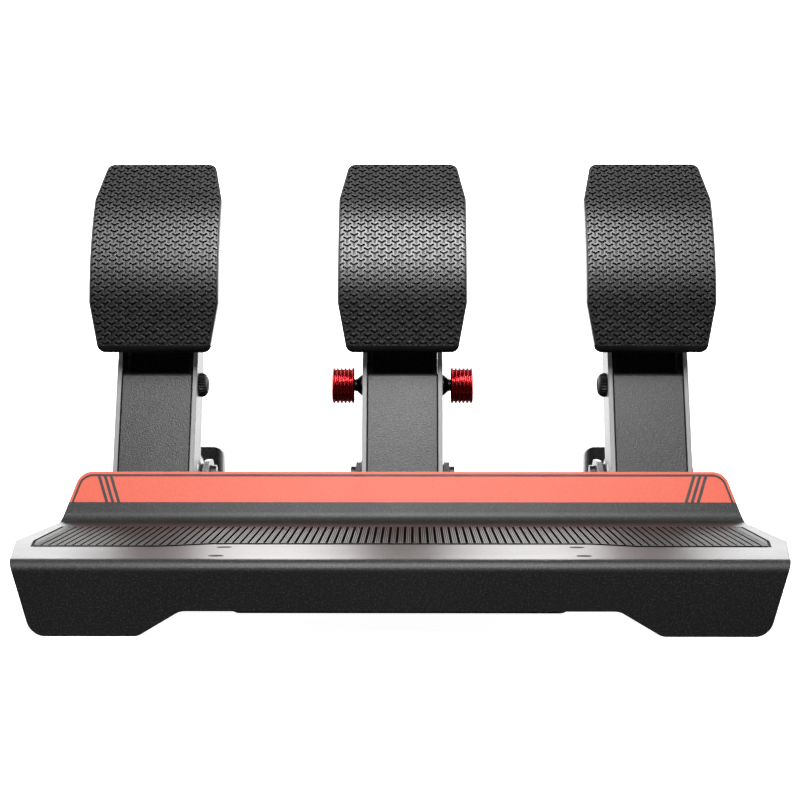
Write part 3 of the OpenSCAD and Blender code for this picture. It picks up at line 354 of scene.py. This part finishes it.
def finish_piece(shape, name, finish, body, slot, *stands_for, sharp=35, more=()):
    """Makes the shape a piece that moves with a body and stands for CAD nodes."""
    tidy(shape)
    mesh = bpy.data.meshes.new(name)
    shape.to_mesh(mesh)
    shape.free()
    mesh.shade_smooth()
    mesh.set_sharp_from_angle(angle=math.radians(sharp))
    for each in (finish, *more):
        mesh.materials.append(each)
    piece = bpy.data.objects.new(name, mesh)
    scene.collection.objects.link(piece)
    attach(piece, body)
    if stands_for:
        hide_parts(*stands_for)
    return piece


def turned(profile, steps=48):
    """A shape turned about the Y axis from points given as station and radius."""
    shape = bmesh.new()
    rim = [shape.verts.new((radius, station, 0)) for station, radius in profile]
    edges = [shape.edges.new(pair) for pair in zip(rim, rim[1:])]
    bmesh.ops.spin(shape, geom=rim + edges, cent=(0, 0, 0), axis=(0, 1, 0), dvec=(0, 0, 0),
                   angle=2 * math.pi, steps=steps, use_merge=True)
    tidy(shape)
    return shape


def put(shape, place):
    bmesh.ops.transform(shape, matrix=place, verts=shape.verts)
    return shape


def gather(shapes):
    """Joins several shapes in one."""
    whole = bmesh.new()
    for shape in shapes:
        carrier = bpy.data.meshes.new("carrier")
        shape.to_mesh(carrier)
        shape.free()
        whole.from_mesh(carrier)
        bpy.data.meshes.remove(carrier)
    return whole


def on_arm(x, up, ahead, lean):
    """A place measured up an arm from its pivot and ahead of it."""
    middle = PIVOT + Vector((x, 0, 0))
    middle.y += up * math.sin(ARM_LEAN) - ahead * math.cos(ARM_LEAN)
    middle.z += up * math.cos(ARM_LEAN) + ahead * math.sin(ARM_LEAN)
    return Matrix.Translation(middle) @ Matrix.Rotation(-lean, 4, "X")


def pad_place(x):
    return on_arm(x, 148.9 * MM, 33.8 * MM, PAD_LEAN)


def clamp_place(x):
    return on_arm(x, 81.5 * MM, 2.8 * MM, ARM_LEAN)


def rod_place(x):
    return Matrix.Translation(ROD_PIN + Vector((x, 0, 0))) @ Matrix.Rotation(-ROD_FALL, 4, "X")


# Pad treads: a slab with three-armed recesses, bent round the pad
PAD_HALF, PAD_END_HALF, PAD_FLAT = 36.5 * MM, 31.3 * MM, 28 * MM
PAD_BEND, PAD_TURN, TREAD_T = 98 * MM, math.radians(19), 3.5 * MM
PAD_ARC = PAD_BEND * PAD_TURN
PAD_END = PAD_ARC + PAD_FLAT
COLUMN, ROW = 3.9 * MM, 4.5 * MM
MARK_W, MARK_ARM, MARK_DEEP = 1.15 * MM, 2.6 * MM, 1.2 * MM
PLAIN_FOOT, PLAIN_RIM, ROLL_H, ROLL_BACK = 4.2 * MM, 1.2 * MM, 5 * MM, 3.2 * MM


def tread_slab():
    slab = bmesh.new()
    half = [(PAD_HALF, -PAD_ARC), (PAD_HALF, PAD_ARC), (PAD_END_HALF, PAD_END)]
    outline = [(PAD_END_HALF, -PAD_END)] + half
    outline += [(-x, -z) for x, z in outline]
    slab.faces.new([slab.verts.new((x, 0, z)) for x, z in outline])
    ends = [v for v in slab.verts if abs(v.co.z) > PAD_END - MM]
    bmesh.ops.bevel(slab, geom=ends, offset=4 * MM, affect="VERTICES", segments=6, profile=0.5, material=-1)
    made = bmesh.ops.extrude_face_region(slab, geom=slab.faces[:])
    bmesh.ops.translate(slab, verts=verts_of(made), vec=(0, TREAD_T, 0))
    tidy(slab)
    rim = [e for e in slab.edges if all(abs(v.co.y) < 0.1 * MM for v in e.verts)]
    bmesh.ops.bevel(slab, geom=rim, offset=1.3 * MM, affect="EDGES", segments=4, profile=0.5, material=-1)
    cuts = 14
    levels = [cut * PAD_ARC / cuts for cut in range(-cuts, cuts + 1)]
    levels += [ROLL_H * share - PAD_END for share in (0.02, 0.08, 0.18, 0.32, 0.5, 0.72, 1.0)]
    for level in levels:
        everything = slab.verts[:] + slab.edges[:] + slab.faces[:]
        bmesh.ops.bisect_plane(slab, geom=everything, plane_co=(0, 0, level), plane_no=(0, 0, 1))
    for vert in slab.verts:
        down = max(0.0, ROLL_H - PAD_END - vert.co.z) / ROLL_H
        vert.co.y = max(vert.co.y, ROLL_BACK * (1 - math.sqrt(max(0.0, 1 - down ** 2))))
    # painted shade: faces of the rolled lower lip take the third, darker finish
    for face in slab.faces:
        if face.calc_center_median().z < 0.85 * ROLL_H - PAD_END:
            face.material_index = 2
    return slab


def marked_field():
    """The part of the slab inside its plain rim, where the recesses are."""
    field = bmesh.new()
    half, end_half = PAD_HALF - PLAIN_RIM, PAD_END_HALF - PLAIN_RIM
    top, foot = PAD_END - PLAIN_RIM, PLAIN_FOOT - PAD_END
    outline = [(end_half + 0.6 * MM, foot), (half, -PAD_ARC), (half, PAD_ARC)]
    outline += [(end_half + 0.2 * MM, top - 2 * MM), (end_half - 1.8 * MM, top)]
    outline += [(-x, z) for x, z in reversed(outline)]
    field.faces.new([field.verts.new((x, -MM, z)) for x, z in outline])
    made = bmesh.ops.extrude_face_region(field, geom=field.faces[:])
    bmesh.ops.translate(field, verts=verts_of(made), vec=(0, 4 * MM, 0))
    tidy(field)
    # painted shade: faces of the field also take the darker recess finish
    for face in field.faces:
        face.material_index = 1
    return field


def tread_mark():
    """One three-armed recess, two arms up and one down, wider at its mouth."""
    mark = bmesh.new()
    bmesh.ops.create_circle(mark, cap_ends=True, segments=3, radius=MARK_W / math.sqrt(3))
    reach = MARK_ARM - MARK_W / math.sqrt(12)
    for edge in mark.edges[:]:
        out = (edge.verts[0].co + edge.verts[1].co).normalized()
        made = bmesh.ops.extrude_edge_only(mark, edges=[edge])
        bmesh.ops.translate(mark, verts=verts_of(made), vec=out * reach)
    bmesh.ops.remove_doubles(mark, verts=mark.verts, dist=0.001 * MM)
    made = bmesh.ops.extrude_face_region(mark, geom=mark.faces[:])
    floor = verts_of(made)
    bmesh.ops.scale(mark, vec=(0.8, 0.8, 1), verts=floor)
    bmesh.ops.translate(mark, verts=floor, vec=(0, 0, -MARK_DEEP - 0.3 * MM))
    bmesh.ops.translate(mark, verts=mark.verts, vec=(0, 0, 0.3 * MM))
    put(mark, Y_TO_Z)
    bmesh.ops.recalc_face_normals(mark, faces=mark.faces)
    # painted shade: each recess's faces take the second, darker finish
    for face in mark.faces:
        face.material_index = 1
    return mark


def tread_marks():
    marks = tread_mark()
    first = marks.verts[:] + marks.edges[:] + marks.faces[:]
    columns = int(PAD_HALF / COLUMN) + 1
    rows = int(PAD_END / ROW) + 1
    for column in range(-columns, columns + 1):
        for row in range(-rows, rows + 1):
            z = (row + 0.5 * (column % 2)) * ROW
            if PLAIN_FOOT - PAD_END < z + MARK_ARM / 2 and z - MARK_ARM < PAD_END:
                made = bmesh.ops.duplicate(marks, geom=first)
                bmesh.ops.translate(marks, verts=verts_of(made), vec=(column * COLUMN, 0, z))
    spare = [item for item in first if isinstance(item, bmesh.types.BMVert)]
    bmesh.ops.delete(marks, geom=spare, context="VERTS")
    return marks


def as_object(shape, name):
    mesh = bpy.data.meshes.new(name)
    shape.to_mesh(mesh)
    shape.free()
    made = bpy.data.objects.new(name, mesh)
    scene.collection.objects.link(made)
    return made


def carved(blank, tool, operation="DIFFERENCE"):
    """The blank with the tool's shapes cut out of it, or its part inside the tool."""
    body = as_object(blank, "blank")
    cutter = as_object(tool, "cutter")
    cut = body.modifiers.new("cut", "BOOLEAN")
    cut.operation = operation
    cut.solver = "EXACT"
    cut.object = cutter
    result = body.evaluated_get(bpy.context.evaluated_depsgraph_get()).to_mesh()
    shape = bmesh.new()
    shape.from_mesh(result)
    for spare in (body, cutter):
        bpy.data.objects.remove(spare)
    return shape


def bent_to_pad(point):
    """Takes a point of the flat slab to the bent pad."""
    turn = max(-PAD_TURN, min(PAD_TURN, point.z / PAD_BEND))
    beyond = point.z - turn * PAD_BEND
    sag = PAD_BEND * (1 - math.cos(PAD_TURN)) + PAD_FLAT * math.sin(PAD_TURN)
    radius = PAD_BEND - point.y
    back = PAD_BEND - sag - radius * math.cos(turn) + beyond * math.sin(turn)
    up = radius * math.sin(turn) + beyond * math.cos(turn)
    return Vector((point.x, back, up))


tread = carved(tread_slab(), carved(tread_marks(), marked_field(), "INTERSECT"))
for vert in tread.verts:
    vert.co = bent_to_pad(vert.co)
for pedal, x in PEDAL_X.items():
    finish_piece(put(tread.copy(), pad_place(x)), pedal + "_tread_pad", tread_rubber, pedal + "_pad",
                 "tread_rubber", pedal + "_pad_tread", sharp=25, more=(recess_shade_rubber, lip_shade_rubber))
tread.free()


# Heel mat: ribs with three ridges each, between plain end borders and behind a front wall
MAT_HALF, MAT_REAR = 181 * MM, -41 * MM
MAT_FRONT_MIDDLE, MAT_STEP, MAT_SLOPE_X = -133.95 * MM, 5.45 * MM, 104 * MM
MAT_SLOPE_HALF, MAT_SLOPE_R, MAT_CORNER = 11 * MM, 12 * MM, 1.5 * MM
MAT_TAPER, MAT_TAPER_D = 4.6 * MM, 28 * MM
MAT_LOW, MAT_BACKING, MAT_END, MAT_TOP = 33.8 * MM, 34.3 * MM, 34.72 * MM, 35.3 * MM
MAT_WALL = 35.2 * MM
RIB_PITCH, RIB_COUNT = 3.81 * MM, 46
RIB_HALF, RIDGES, RIDGE_DEEP = 1.38 * MM, 3, 0.7 * MM


def corner_of_mat(x):
    into = max(0.0, abs(x) - MAT_HALF + MAT_CORNER)
    return MAT_CORNER - math.sqrt(max(0.0, MAT_CORNER ** 2 - into ** 2))


def front_of_mat(x):
    """The front edge: deeper at the ends, with a rounded slope to the middle."""
    across = abs(x) - MAT_SLOPE_X
    slope = math.atan2(MAT_STEP, MAT_SLOPE_HALF)
    tangent = MAT_SLOPE_R * math.tan(slope / 2)
    level = MAT_SLOPE_HALF + tangent
    run = abs(across)
    if run > level:
        off = MAT_STEP
    elif run > MAT_SLOPE_HALF - tangent * math.cos(slope):
        off = MAT_STEP - MAT_SLOPE_R + math.sqrt(MAT_SLOPE_R ** 2 - (level - run) ** 2)
    else:
        off = run * math.tan(slope)
    into_taper = max(0.0, abs(x) - MAT_HALF + MAT_TAPER) / MAT_TAPER
    return MAT_FRONT_MIDDLE - math.copysign(off, across) + into_taper * MAT_TAPER_D


def rear_of_mat(x):
    return MAT_REAR - corner_of_mat(x)


def rib_section():
    """Half-round ridges side by side on a straight-sided rib."""
    wide = 2 * RIB_HALF / RIDGES
    section = [(-RIB_HALF, MAT_BACKING)]
    for ridge in range(RIDGES):
        for share in (0.12, 0.34, 0.66, 0.88):
            drop = RIDGE_DEEP * (2 * abs(share - 0.5)) ** 2
            section.append((-RIB_HALF + (ridge + share) * wide, MAT_TOP - drop))
    return section + [(RIB_HALF, MAT_BACKING)]


def mat_section():
    steps_in = (0.1, 0.6, 1.2, 2, 3.3)
    ends = [(-MAT_HALF, MAT_LOW), (-MAT_HALF, MAT_END - 0.1 * MM)]
    ends += [(-MAT_HALF + into * MM, MAT_END) for into in steps_in]
    ends += [(-MAT_HALF + 3.4 * MM, MAT_BACKING)]
    section = list(ends)
    for rib in range(-RIB_COUNT, RIB_COUNT + 1):
        section += [(rib * RIB_PITCH + x, z) for x, z in rib_section()]
    return section + [(-x, z) for x, z in reversed(ends)]


def heel_mat():
    """Rows of the section run from the front edge over the top to the rear, and back underneath."""
    section = mat_section()
    lip = 0.7 * MM
    ground = lambda z: MAT_LOW
    edge = lambda z: min(z, MAT_BACKING - 0.2 * MM)
    low_end = lambda z: min(z, MAT_BACKING)
    wall = lambda z: MAT_WALL if z == MAT_BACKING or z > MAT_END + 0.05 * MM else z
    full = lambda z: z
    top = [(front_of_mat, 0, ground), (front_of_mat, 0, edge), (front_of_mat, 0.06 * MM, wall),
           (front_of_mat, lip, wall), (front_of_mat, lip + 0.2 * MM, full),
           (rear_of_mat, -lip - 0.2 * MM, full), (rear_of_mat, -lip, low_end),
           (rear_of_mat, -0.25 * MM, low_end), (rear_of_mat, 0, edge), (rear_of_mat, 0, ground)]
    under = [(line, off, ground) for line, off, height in reversed(top[1:-1])]
    mat = bmesh.new()
    row = [mat.verts.new((x, 0, z)) for x, z in section]
    chain = [mat.edges.new(pair) for pair in zip(row, row[1:])]
    rows = top + under + top[:1]
    for number, (line, off, height) in enumerate(rows):
        for vert, (x, z) in zip(row, section):
            vert.co = (x, line(x) + off, height(z))
        if number < len(rows) - 1:
            made = bmesh.ops.extrude_edge_only(mat, edges=chain)["geom"]
            chain = [item for item in made if isinstance(item, bmesh.types.BMEdge)]
            fresh = {v for e in chain for v in e.verts}
            old_row = row
            row = [next(e.other_vert(v) for e in v.link_edges if e.other_vert(v) in fresh) for v in old_row]
    # painted shade: faces on the groove floors and underneath take the second, near-black finish
    for face in mat.faces:
        inside = max(abs(v.co.x) for v in face.verts) < MAT_HALF - 3.3 * MM
        if inside and min(v.co.z for v in face.verts) < MAT_BACKING + 0.05 * MM:
            face.material_index = 1
    return mat


finish_piece(heel_mat(), "ribbed_heel_mat", mat_rubber, "base", "mat_rubber", "heel_mat", sharp=30,
             more=(groove_shade_rubber,))


# Stripes on the toe stop
TOE_HALF_LOW, TOE_HALF_TOP, TOE_CORNER = 188 * MM, 178.6 * MM, 6.4 * MM
STRIPE_T, STRIPE_LIFT, LINE_IN, LINE_W = 0.12 * MM, 0.02 * MM, 1.4 * MM, 1.1 * MM
END_STRIPES, END_STRIPE_X, END_STRIPE_STEP, END_STRIPE_W = 3, 169.2 * MM, 3.3 * MM, 1.7 * MM
END_STRIPE_SLANT, END_STRIPE_TOP = 5 * MM, 59.4 * MM


def on_toe_stop(shape):
    """Lays a shape drawn by X and height on the toe stop's leaning face."""
    for vert in shape.verts:
        height = vert.co.z - HEEL_TOP
        vert.co = Vector((vert.co.x, TOE_Y + height * TOE_SLOPE, vert.co.z))
    bmesh.ops.recalc_face_normals(shape, faces=shape.faces)
    out = Vector((0, -math.cos(TOE_LEAN), math.sin(TOE_LEAN)))
    bmesh.ops.translate(shape, verts=shape.verts, vec=out * STRIPE_LIFT)
    made = bmesh.ops.extrude_face_region(shape, geom=shape.faces[:])
    bmesh.ops.translate(shape, verts=verts_of(made), vec=out * STRIPE_T)
    return shape


def pinstripe():
    """A line inside the toe stop's outline, open at the band's lower edge."""
    shape = bmesh.new()
    outline = [(-TOE_HALF_LOW, HEEL_TOP), (TOE_HALF_LOW, HEEL_TOP)]
    outline += [(TOE_HALF_TOP, TOE_TOP), (-TOE_HALF_TOP, TOE_TOP)]
    shape.faces.new([shape.verts.new((x, 0, z)) for x, z in outline])
    corners = [v for v in shape.verts if v.co.z > BAND_LOW]
    bmesh.ops.bevel(shape, geom=corners, offset=TOE_CORNER, affect="VERTICES", segments=10, profile=0.5,
                    material=-1)
    middle = shape.faces[:]
    margin = bmesh.ops.inset_region(shape, faces=middle, thickness=LINE_IN, use_boundary=True,
                                    use_even_offset=True)
    bmesh.ops.inset_region(shape, faces=middle, thickness=LINE_W, use_boundary=True, use_even_offset=True)
    bmesh.ops.delete(shape, geom=margin["faces"] + middle, context="FACES")
    everything = shape.verts[:] + shape.edges[:] + shape.faces[:]
    level = (0, 0, BAND_LOW)
    bmesh.ops.bisect_plane(shape, geom=everything, plane_co=level, plane_no=(0, 0, -1), clear_outer=True)
    return shape


def end_stripes():
    """Slanting stripes at each end of the band."""
    shape = bmesh.new()
    for side in SIDES:
        for number in range(END_STRIPES):
            top_x = END_STRIPE_X - END_STRIPE_STEP * number
            foot_x = top_x - END_STRIPE_SLANT
            corners = [(top_x, END_STRIPE_TOP), (top_x - END_STRIPE_W, END_STRIPE_TOP)]
            corners += [(foot_x - END_STRIPE_W, BAND_LOW), (foot_x, BAND_LOW)]
            shape.faces.new([shape.verts.new((side * x, 0, z)) for x, z in corners])
    return shape


finish_piece(on_toe_stop(pinstripe()), "toe_stop_pinstripe", stripe_ink, "base", "powder_coat")
finish_piece(on_toe_stop(end_stripes()), "toe_stop_end_stripes", stripe_ink, "base", "powder_coat")


# Brake knobs: round fins on a turned body
KNOB_X, KNOB_L, KNOB_R, KNOB_FINS = 27.4 * MM, 13.1 * MM, 10.6 * MM, 6
STUD_R, KNOB_CAP = 3 * MM, 2.4 * MM


def knob():
    pitch = KNOB_L / KNOB_FINS
    groove, steps = 1.5 * MM, 10
    rim = []
    for fin in range(KNOB_FINS):
        for step in range(steps + 1):
            share = step / steps
            swell = math.sin(math.pi * (0.04 + 0.92 * share)) ** 0.75
            rim.append((KNOB_X + (fin + 0.04 + 0.92 * share) * pitch, KNOB_R - groove + groove * swell))
    start, end = KNOB_X, KNOB_X + KNOB_L
    bore = STUD_R + 0.05 * MM
    profile = [(start, bore), (start, KNOB_R - 2.2 * MM)] + rim
    profile += [(end, KNOB_R - 2.0 * MM), (end - 0.5 * MM, KNOB_R - 2.8 * MM), (end - 0.5 * MM, 0)]
    profile = [(end - KNOB_CAP, 0), (end - KNOB_CAP, bore)] + profile
    return put(turned(profile, 64), Y_TO_X)


for side, word in zip(SIDES, ("left", "right")):
    shape = put(knob(), Matrix.Scale(side, 4, (1, 0, 0)))
    finish_piece(put(shape, clamp_place(0)), word + "_finned_knob", red_metal, "brake_knob_" + word,
                 "red_anodised", "brake_knob_" + word)


# Clamp bolts of the outer pedals: a domed head on the inner side, with a gripped rim and a hexagon socket
BOLT_R, BOLT_END, BOLT_SEAT, HEAD_R, HEAD_T = 4 * MM, -22.8 * MM, 22.8 * MM, 6.9 * MM, 5 * MM
GRIPS, SOCKET_R, SOCKET_DEEP = 26, 3.5 * MM, 2.8 * MM


def loop_of(made):
    return [item for item in made["geom"] if isinstance(item, bmesh.types.BMEdge)]


def clamp_bolt():
    """One bolt along +Y, its head's seat at BOLT_SEAT."""
    head = bmesh.new()
    ring = bmesh.ops.create_circle(head, segments=2 * GRIPS, radius=HEAD_R)["verts"]
    put(head, Y_TO_Z)
    edges = head.edges[:]
    stations = ((0.0, 0.95, 0.91), (0.3, 1.0, 0.92), (1.9, 1.0, 0.92), (3.1, 0.93, 0.86),
                (4.1, 0.8, 0.76), (4.8, 0.64, 0.63), (5.0, 0.56, 0.56))
    for number, (station, crest, root) in enumerate(stations):
        for vert in ring:
            turn = round(math.atan2(vert.co.z, vert.co.x) / math.pi * GRIPS)
            size = HEAD_R * (root if turn % 2 else crest)
            flat = Vector((vert.co.x, 0, vert.co.z)).normalized() * size
            vert.co = (flat.x, BOLT_SEAT + station * MM, flat.z)
        if number < len(stations) - 1:
            made = bmesh.ops.extrude_edge_only(head, edges=edges)
            edges, ring = loop_of(made), verts_of(made)
            edges = [e for e in edges if all(v in set(ring) for v in e.verts)]
    socket = bmesh.ops.create_circle(head, segments=6, radius=SOCKET_R)["verts"]
    mouth_place = Matrix.Translation((0, BOLT_SEAT + HEAD_T - 0.1 * MM, 0)) @ Y_TO_Z
    bmesh.ops.transform(head, matrix=mouth_place, verts=socket)
    mouth = list({e for v in socket for e in v.link_edges})
    bmesh.ops.bridge_loops(head, edges=edges + mouth)
    made = bmesh.ops.extrude_edge_only(head, edges=mouth)
    bmesh.ops.translate(head, verts=verts_of(made), vec=(0, -SOCKET_DEEP, 0))
    bmesh.ops.contextual_create(head, geom=[e for e in loop_of(made) if e.is_boundary])
    under = [e for e in head.edges if e.is_boundary]
    bmesh.ops.contextual_create(head, geom=under)
    shank = turned([(BOLT_END, 0), (BOLT_END, BOLT_R - 0.8 * MM), (BOLT_END + 0.8 * MM, BOLT_R),
                    (BOLT_SEAT + 0.5 * MM, BOLT_R), (BOLT_SEAT + 0.5 * MM, 0)], 32)
    return put(gather([head, shank]), Y_TO_X)


for pedal, inner in (("clutch", 1), ("throttle", -1)):
    bolt = put(clamp_bolt(), Matrix.Scale(inner, 4, (1, 0, 0)))
    finish_piece(put(bolt, clamp_place(PEDAL_X[pedal])), pedal + "_gripped_bolt", grip_black,
                 pedal + "_arm", "black_screw", pedal + "_clamp_bolt", sharp=28)


# Push rods: an eye, a neck and a threaded length
ROD_R, ROD_ROOT, EYE_R, EYE_HALF, ROD_END, THREAD = 4 * MM, 3.45 * MM, 9 * MM, 6 * MM, 145.545 * MM, 1.25 * MM


def push_rod():
    bore = ROD_R + 0.05 * MM
    soft = 0.9 * MM
    ring = [(-EYE_HALF, bore), (-EYE_HALF, EYE_R - soft), (soft - EYE_HALF, EYE_R)]
    eye = turned(ring + [(-station, radius) for station, radius in reversed(ring)] + ring[:1], 48)
    start = EYE_R + 11 * MM
    shank = [(EYE_R - 2.6 * MM, 0), (EYE_R - 2.6 * MM, ROD_R + MM), (EYE_R + 9.4 * MM, ROD_R + MM),
             (EYE_R + 10 * MM, ROD_R)]
    turns = int((ROD_END - start) / THREAD)
    for turn in range(turns):
        at = start + turn * THREAD
        shank += [(at, ROD_ROOT), (at + 0.45 * THREAD, ROD_R), (at + 0.6 * THREAD, ROD_R)]
    shank += [(ROD_END - 0.8 * MM, ROD_ROOT), (ROD_END, ROD_ROOT - 0.7 * MM), (ROD_END, 0)]
    return gather([put(eye, Y_TO_X), turned(shank, 28)])


for pedal, x in PEDAL_X.items():
    finish_piece(put(push_rod(), rod_place(x)), pedal + "_threaded_rod", zinc, pedal + "_rod", "zinc_steel",
                 pedal + "_push_rod")


# Return springs: open coils between closed end coils
SPRING_R, WIRE_R, SPRING_START, SPRING_L = 11.5 * MM, 1.3 * MM, 34.2 * MM, 87.145 * MM
COIL_STEPS, OPEN_COILS = 28, 9


def return_spring():
    wire = bmesh.new()
    ring = bmesh.ops.create_circle(wire, segments=10, radius=WIRE_R)["verts"]
    put(wire, Matrix.Translation((SPRING_R, SPRING_START + WIRE_R, 0)))
    loop = ring + wire.edges[:]
    first = wire.edges[:]
    closed_rise = 2 * WIRE_R + 0.15 * MM
    open_rise = (SPRING_L - 2 * WIRE_R - 2 * closed_rise) / OPEN_COILS
    for coils, rise in ((1, closed_rise), (OPEN_COILS, open_rise), (1, closed_rise)):
        step = (0, rise / COIL_STEPS, 0)
        made = bmesh.ops.spin(wire, geom=loop, cent=(0, 0, 0), axis=(0, -1, 0), dvec=step,
                              angle=2 * math.pi * coils, steps=COIL_STEPS * coils)
        loop = made["geom_last"]
    last = [item for item in loop if isinstance(item, bmesh.types.BMEdge)]
    for rim in (first, last):
        bmesh.ops.contextual_create(wire, geom=rim)
    return wire


for pedal in ("clutch", "throttle"):
    x = PEDAL_X[pedal]
    spring = finish_piece(put(return_spring(), rod_place(x)), pedal + "_coil_spring", spring_wire, "base",
                          "spring_steel", pedal + "_spring", sharp=50)
    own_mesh(spring)


# Brake elastomer: three barrel pucks on the rod
PUCK_START, PUCK_L, PUCKS = 55.345 * MM, 47.6 * MM / 3, 3
PUCK_WAIST, PUCK_SWELL, PUCK_BORE = 11 * MM, 2.3 * MM, 6 * MM


def puck(start):
    steps = 12
    rim = [(start + 0.3 * MM, PUCK_WAIST - 0.5 * MM)]
    for step in range(steps + 1):
        share = step / steps
        swell = PUCK_SWELL * math.sin(math.pi * share)
        rim.append((start + 0.5 * MM + (PUCK_L - MM) * share, PUCK_WAIST + swell))
    rim.append((start + PUCK_L - 0.3 * MM, PUCK_WAIST - 0.5 * MM))
    end = start + PUCK_L
    profile = [(start, PUCK_BORE), (start, PUCK_WAIST - MM)] + rim
    profile += [(end, PUCK_WAIST - MM), (end, PUCK_BORE), (start, PUCK_BORE)]
    return turned(profile, 48)


pucks = gather([puck(PUCK_START + number * PUCK_L) for number in range(PUCKS)])
stack = finish_piece(put(pucks, rod_place(0)), "brake_puck_stack", puck_rubber, "base", "elastomer",
                     "brake_elastomer", sharp=40)
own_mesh(stack)


# Rubber feet and travel stops
FOOT_R, FOOT_H, FOOT_X, FOOT_Y = 10 * MM, 3 * MM, 158 * MM, (9 * MM, 179 * MM)


def foot():
    profile = [(0, 0), (0, FOOT_R - 1.6 * MM), (0.25 * MM, FOOT_R - 0.8 * MM), (0.9 * MM, FOOT_R),
               (FOOT_H - 0.2 * MM, FOOT_R - 0.35 * MM), (FOOT_H, FOOT_R - 0.5 * MM), (FOOT_H, 0)]
    return put(turned(profile, 40), Y_TO_Z)


feet = [put(foot(), Matrix.Translation((side * FOOT_X, y, 0))) for side in SIDES for y in FOOT_Y]
finish_piece(gather(feet), "round_feet", soft_rubber, "base", "foot_rubber", "feet")

STOP_Y = {"clutch": 57.95 * MM, "brake": 49.93 * MM, "throttle": 57.95 * MM}
STOP_Z, STOP_R, STOP_IN, EAR_IN = 56.7 * MM, 6 * MM, 17 * MM, 24 * MM


def bumper():
    soft = 1.2 * MM
    rounded = [(STOP_IN + soft * (1 - math.sin(turn)), STOP_R - soft * (1 - math.cos(turn)))
               for turn in (math.pi / 2 * (1 - step / 4) for step in range(5))]
    profile = [(STOP_IN, 0)] + rounded + [(EAR_IN, STOP_R), (EAR_IN, 0)]
    return put(turned(profile, 32), Y_TO_X)


stops = []
for pedal, x in PEDAL_X.items():
    for side in SIDES:
        shape = put(bumper(), Matrix.Scale(side, 4, (1, 0, 0)))
        stops.append(put(shape, Matrix.Translation((x, STOP_Y[pedal], STOP_Z))))
finish_piece(gather(stops), "travel_stop_bumpers", soft_rubber, "base", "foot_rubber", "stop_bumpers")


# Studio: a pale floor, a bright wall behind the set, and soft lights in front, behind and at the sides
def studio_floor():
    shape = bmesh.new()
    bmesh.ops.create_grid(shape, x_segments=8, y_segments=8, size=40)
    floor = as_object(shape, "studio_floor")
    finish, tree, shader = finish_shader("pale_floor")
    shader.inputs["Base Color"].default_value = (0.8, 0.8, 0.8, 1)
    shader.inputs["Roughness"].default_value = 0.9
    shader.inputs["Specular IOR Level"].default_value = 0.0
    shader.inputs["Emission Color"].default_value = (1, 1, 1, 1)
    shader.inputs["Emission Strength"].default_value = 0.95
    floor.data.materials.append(finish)
    floor.visible_diffuse = False
    floor.visible_glossy = False


WALL_LIGHT, CEILING_LIGHT, UNDER_LIGHT, ROOM_LIGHT = 3.7, 0.45, 0.9, 0.04


def studio_world():
    """Light comes from a wall behind the set. The camera sees plain white all round."""
    world = bpy.data.worlds.new("studio")
    world.use_nodes = True
    tree = world.node_tree
    scene.world = world
    place = tree.nodes.new("ShaderNodeSeparateXYZ")
    tree.links.new(tree.nodes.new("ShaderNodeTexCoord").outputs["Generated"], place.inputs["Vector"])
    behind = step_over(tree, place.outputs["Y"], 0.0, 0.3)
    above = step_over(tree, place.outputs["Z"], -0.12, 0.08)
    down = calculate(tree, "MULTIPLY", place.outputs["Z"], -1)
    below = step_over(tree, down, -0.5, 0.25)
    wall = calculate(tree, "MULTIPLY", calculate(tree, "MULTIPLY", behind, above), below)
    under = step_over(tree, down, 0.75, 0.1)
    ceiling = step_over(tree, place.outputs["Z"], 0.72, 0.12)
    light = ROOM_LIGHT
    for share, power in ((wall, WALL_LIGHT), (ceiling, CEILING_LIGHT), (under, UNDER_LIGHT)):
        light = calculate(tree, "ADD", calculate(tree, "MULTIPLY", share, power), light)
    seen = tree.nodes.new("ShaderNodeLightPath").outputs["Is Camera Ray"]
    tree.links.new(calculate(tree, "MAXIMUM", light, seen), tree.nodes["Background"].inputs["Strength"])
    tree.nodes["Background"].inputs["Color"].default_value = (1, 1, 1, 1)


def softbox(name, at, aim, wide, high, power):
    lamp = bpy.data.lights.new(name, "AREA")
    lamp.shape = "RECTANGLE"
    lamp.size = wide
    lamp.size_y = high
    lamp.energy = power
    holder = bpy.data.objects.new(name, lamp)
    holder.location = at
    holder.rotation_euler = (Vector(aim) - Vector(at)).to_track_quat("-Z", "Y").to_euler()
    holder.visible_camera = False
    scene.collection.objects.link(holder)


CAMERA_AT, CAMERA_DIP, CAMERA_TURN = (0.0063, -1.003, 0.12746), 1.478, 0.431


def photo_camera():
    """The photograph's viewpoint: almost level, about a metre in front."""
    lens = bpy.data.cameras.new("photo_camera")
    lens.lens = 81.1
    lens.sensor_width = 36
    lens.clip_start = 0.01
    camera = bpy.data.objects.new("photo_camera", lens)
    camera.location = CAMERA_AT
    camera.rotation_euler = (math.radians(90 - CAMERA_DIP), 0, math.radians(CAMERA_TURN))
    scene.collection.objects.link(camera)
    scene.camera = camera


studio_floor()
studio_world()
softbox("front_softbox", (0, -0.86, 1.06), (0, 0, 0.15), 0.45, 0.9, 22)
softbox("rear_softbox", (0, 1.25, 0.75), (0, -0.12, 0.03), 0.9, 0.35, 10)
softbox("left_strip", (-1.2, 0.15, 0.62), (-0.1, 0.05, 0.1), 1.4, 1.1, 13)
softbox("right_strip", (1.2, 0.15, 0.62), (0.1, 0.05, 0.1), 1.4, 1.1, 13)
photo_camera()
scene.view_settings.view_transform = "Standard"
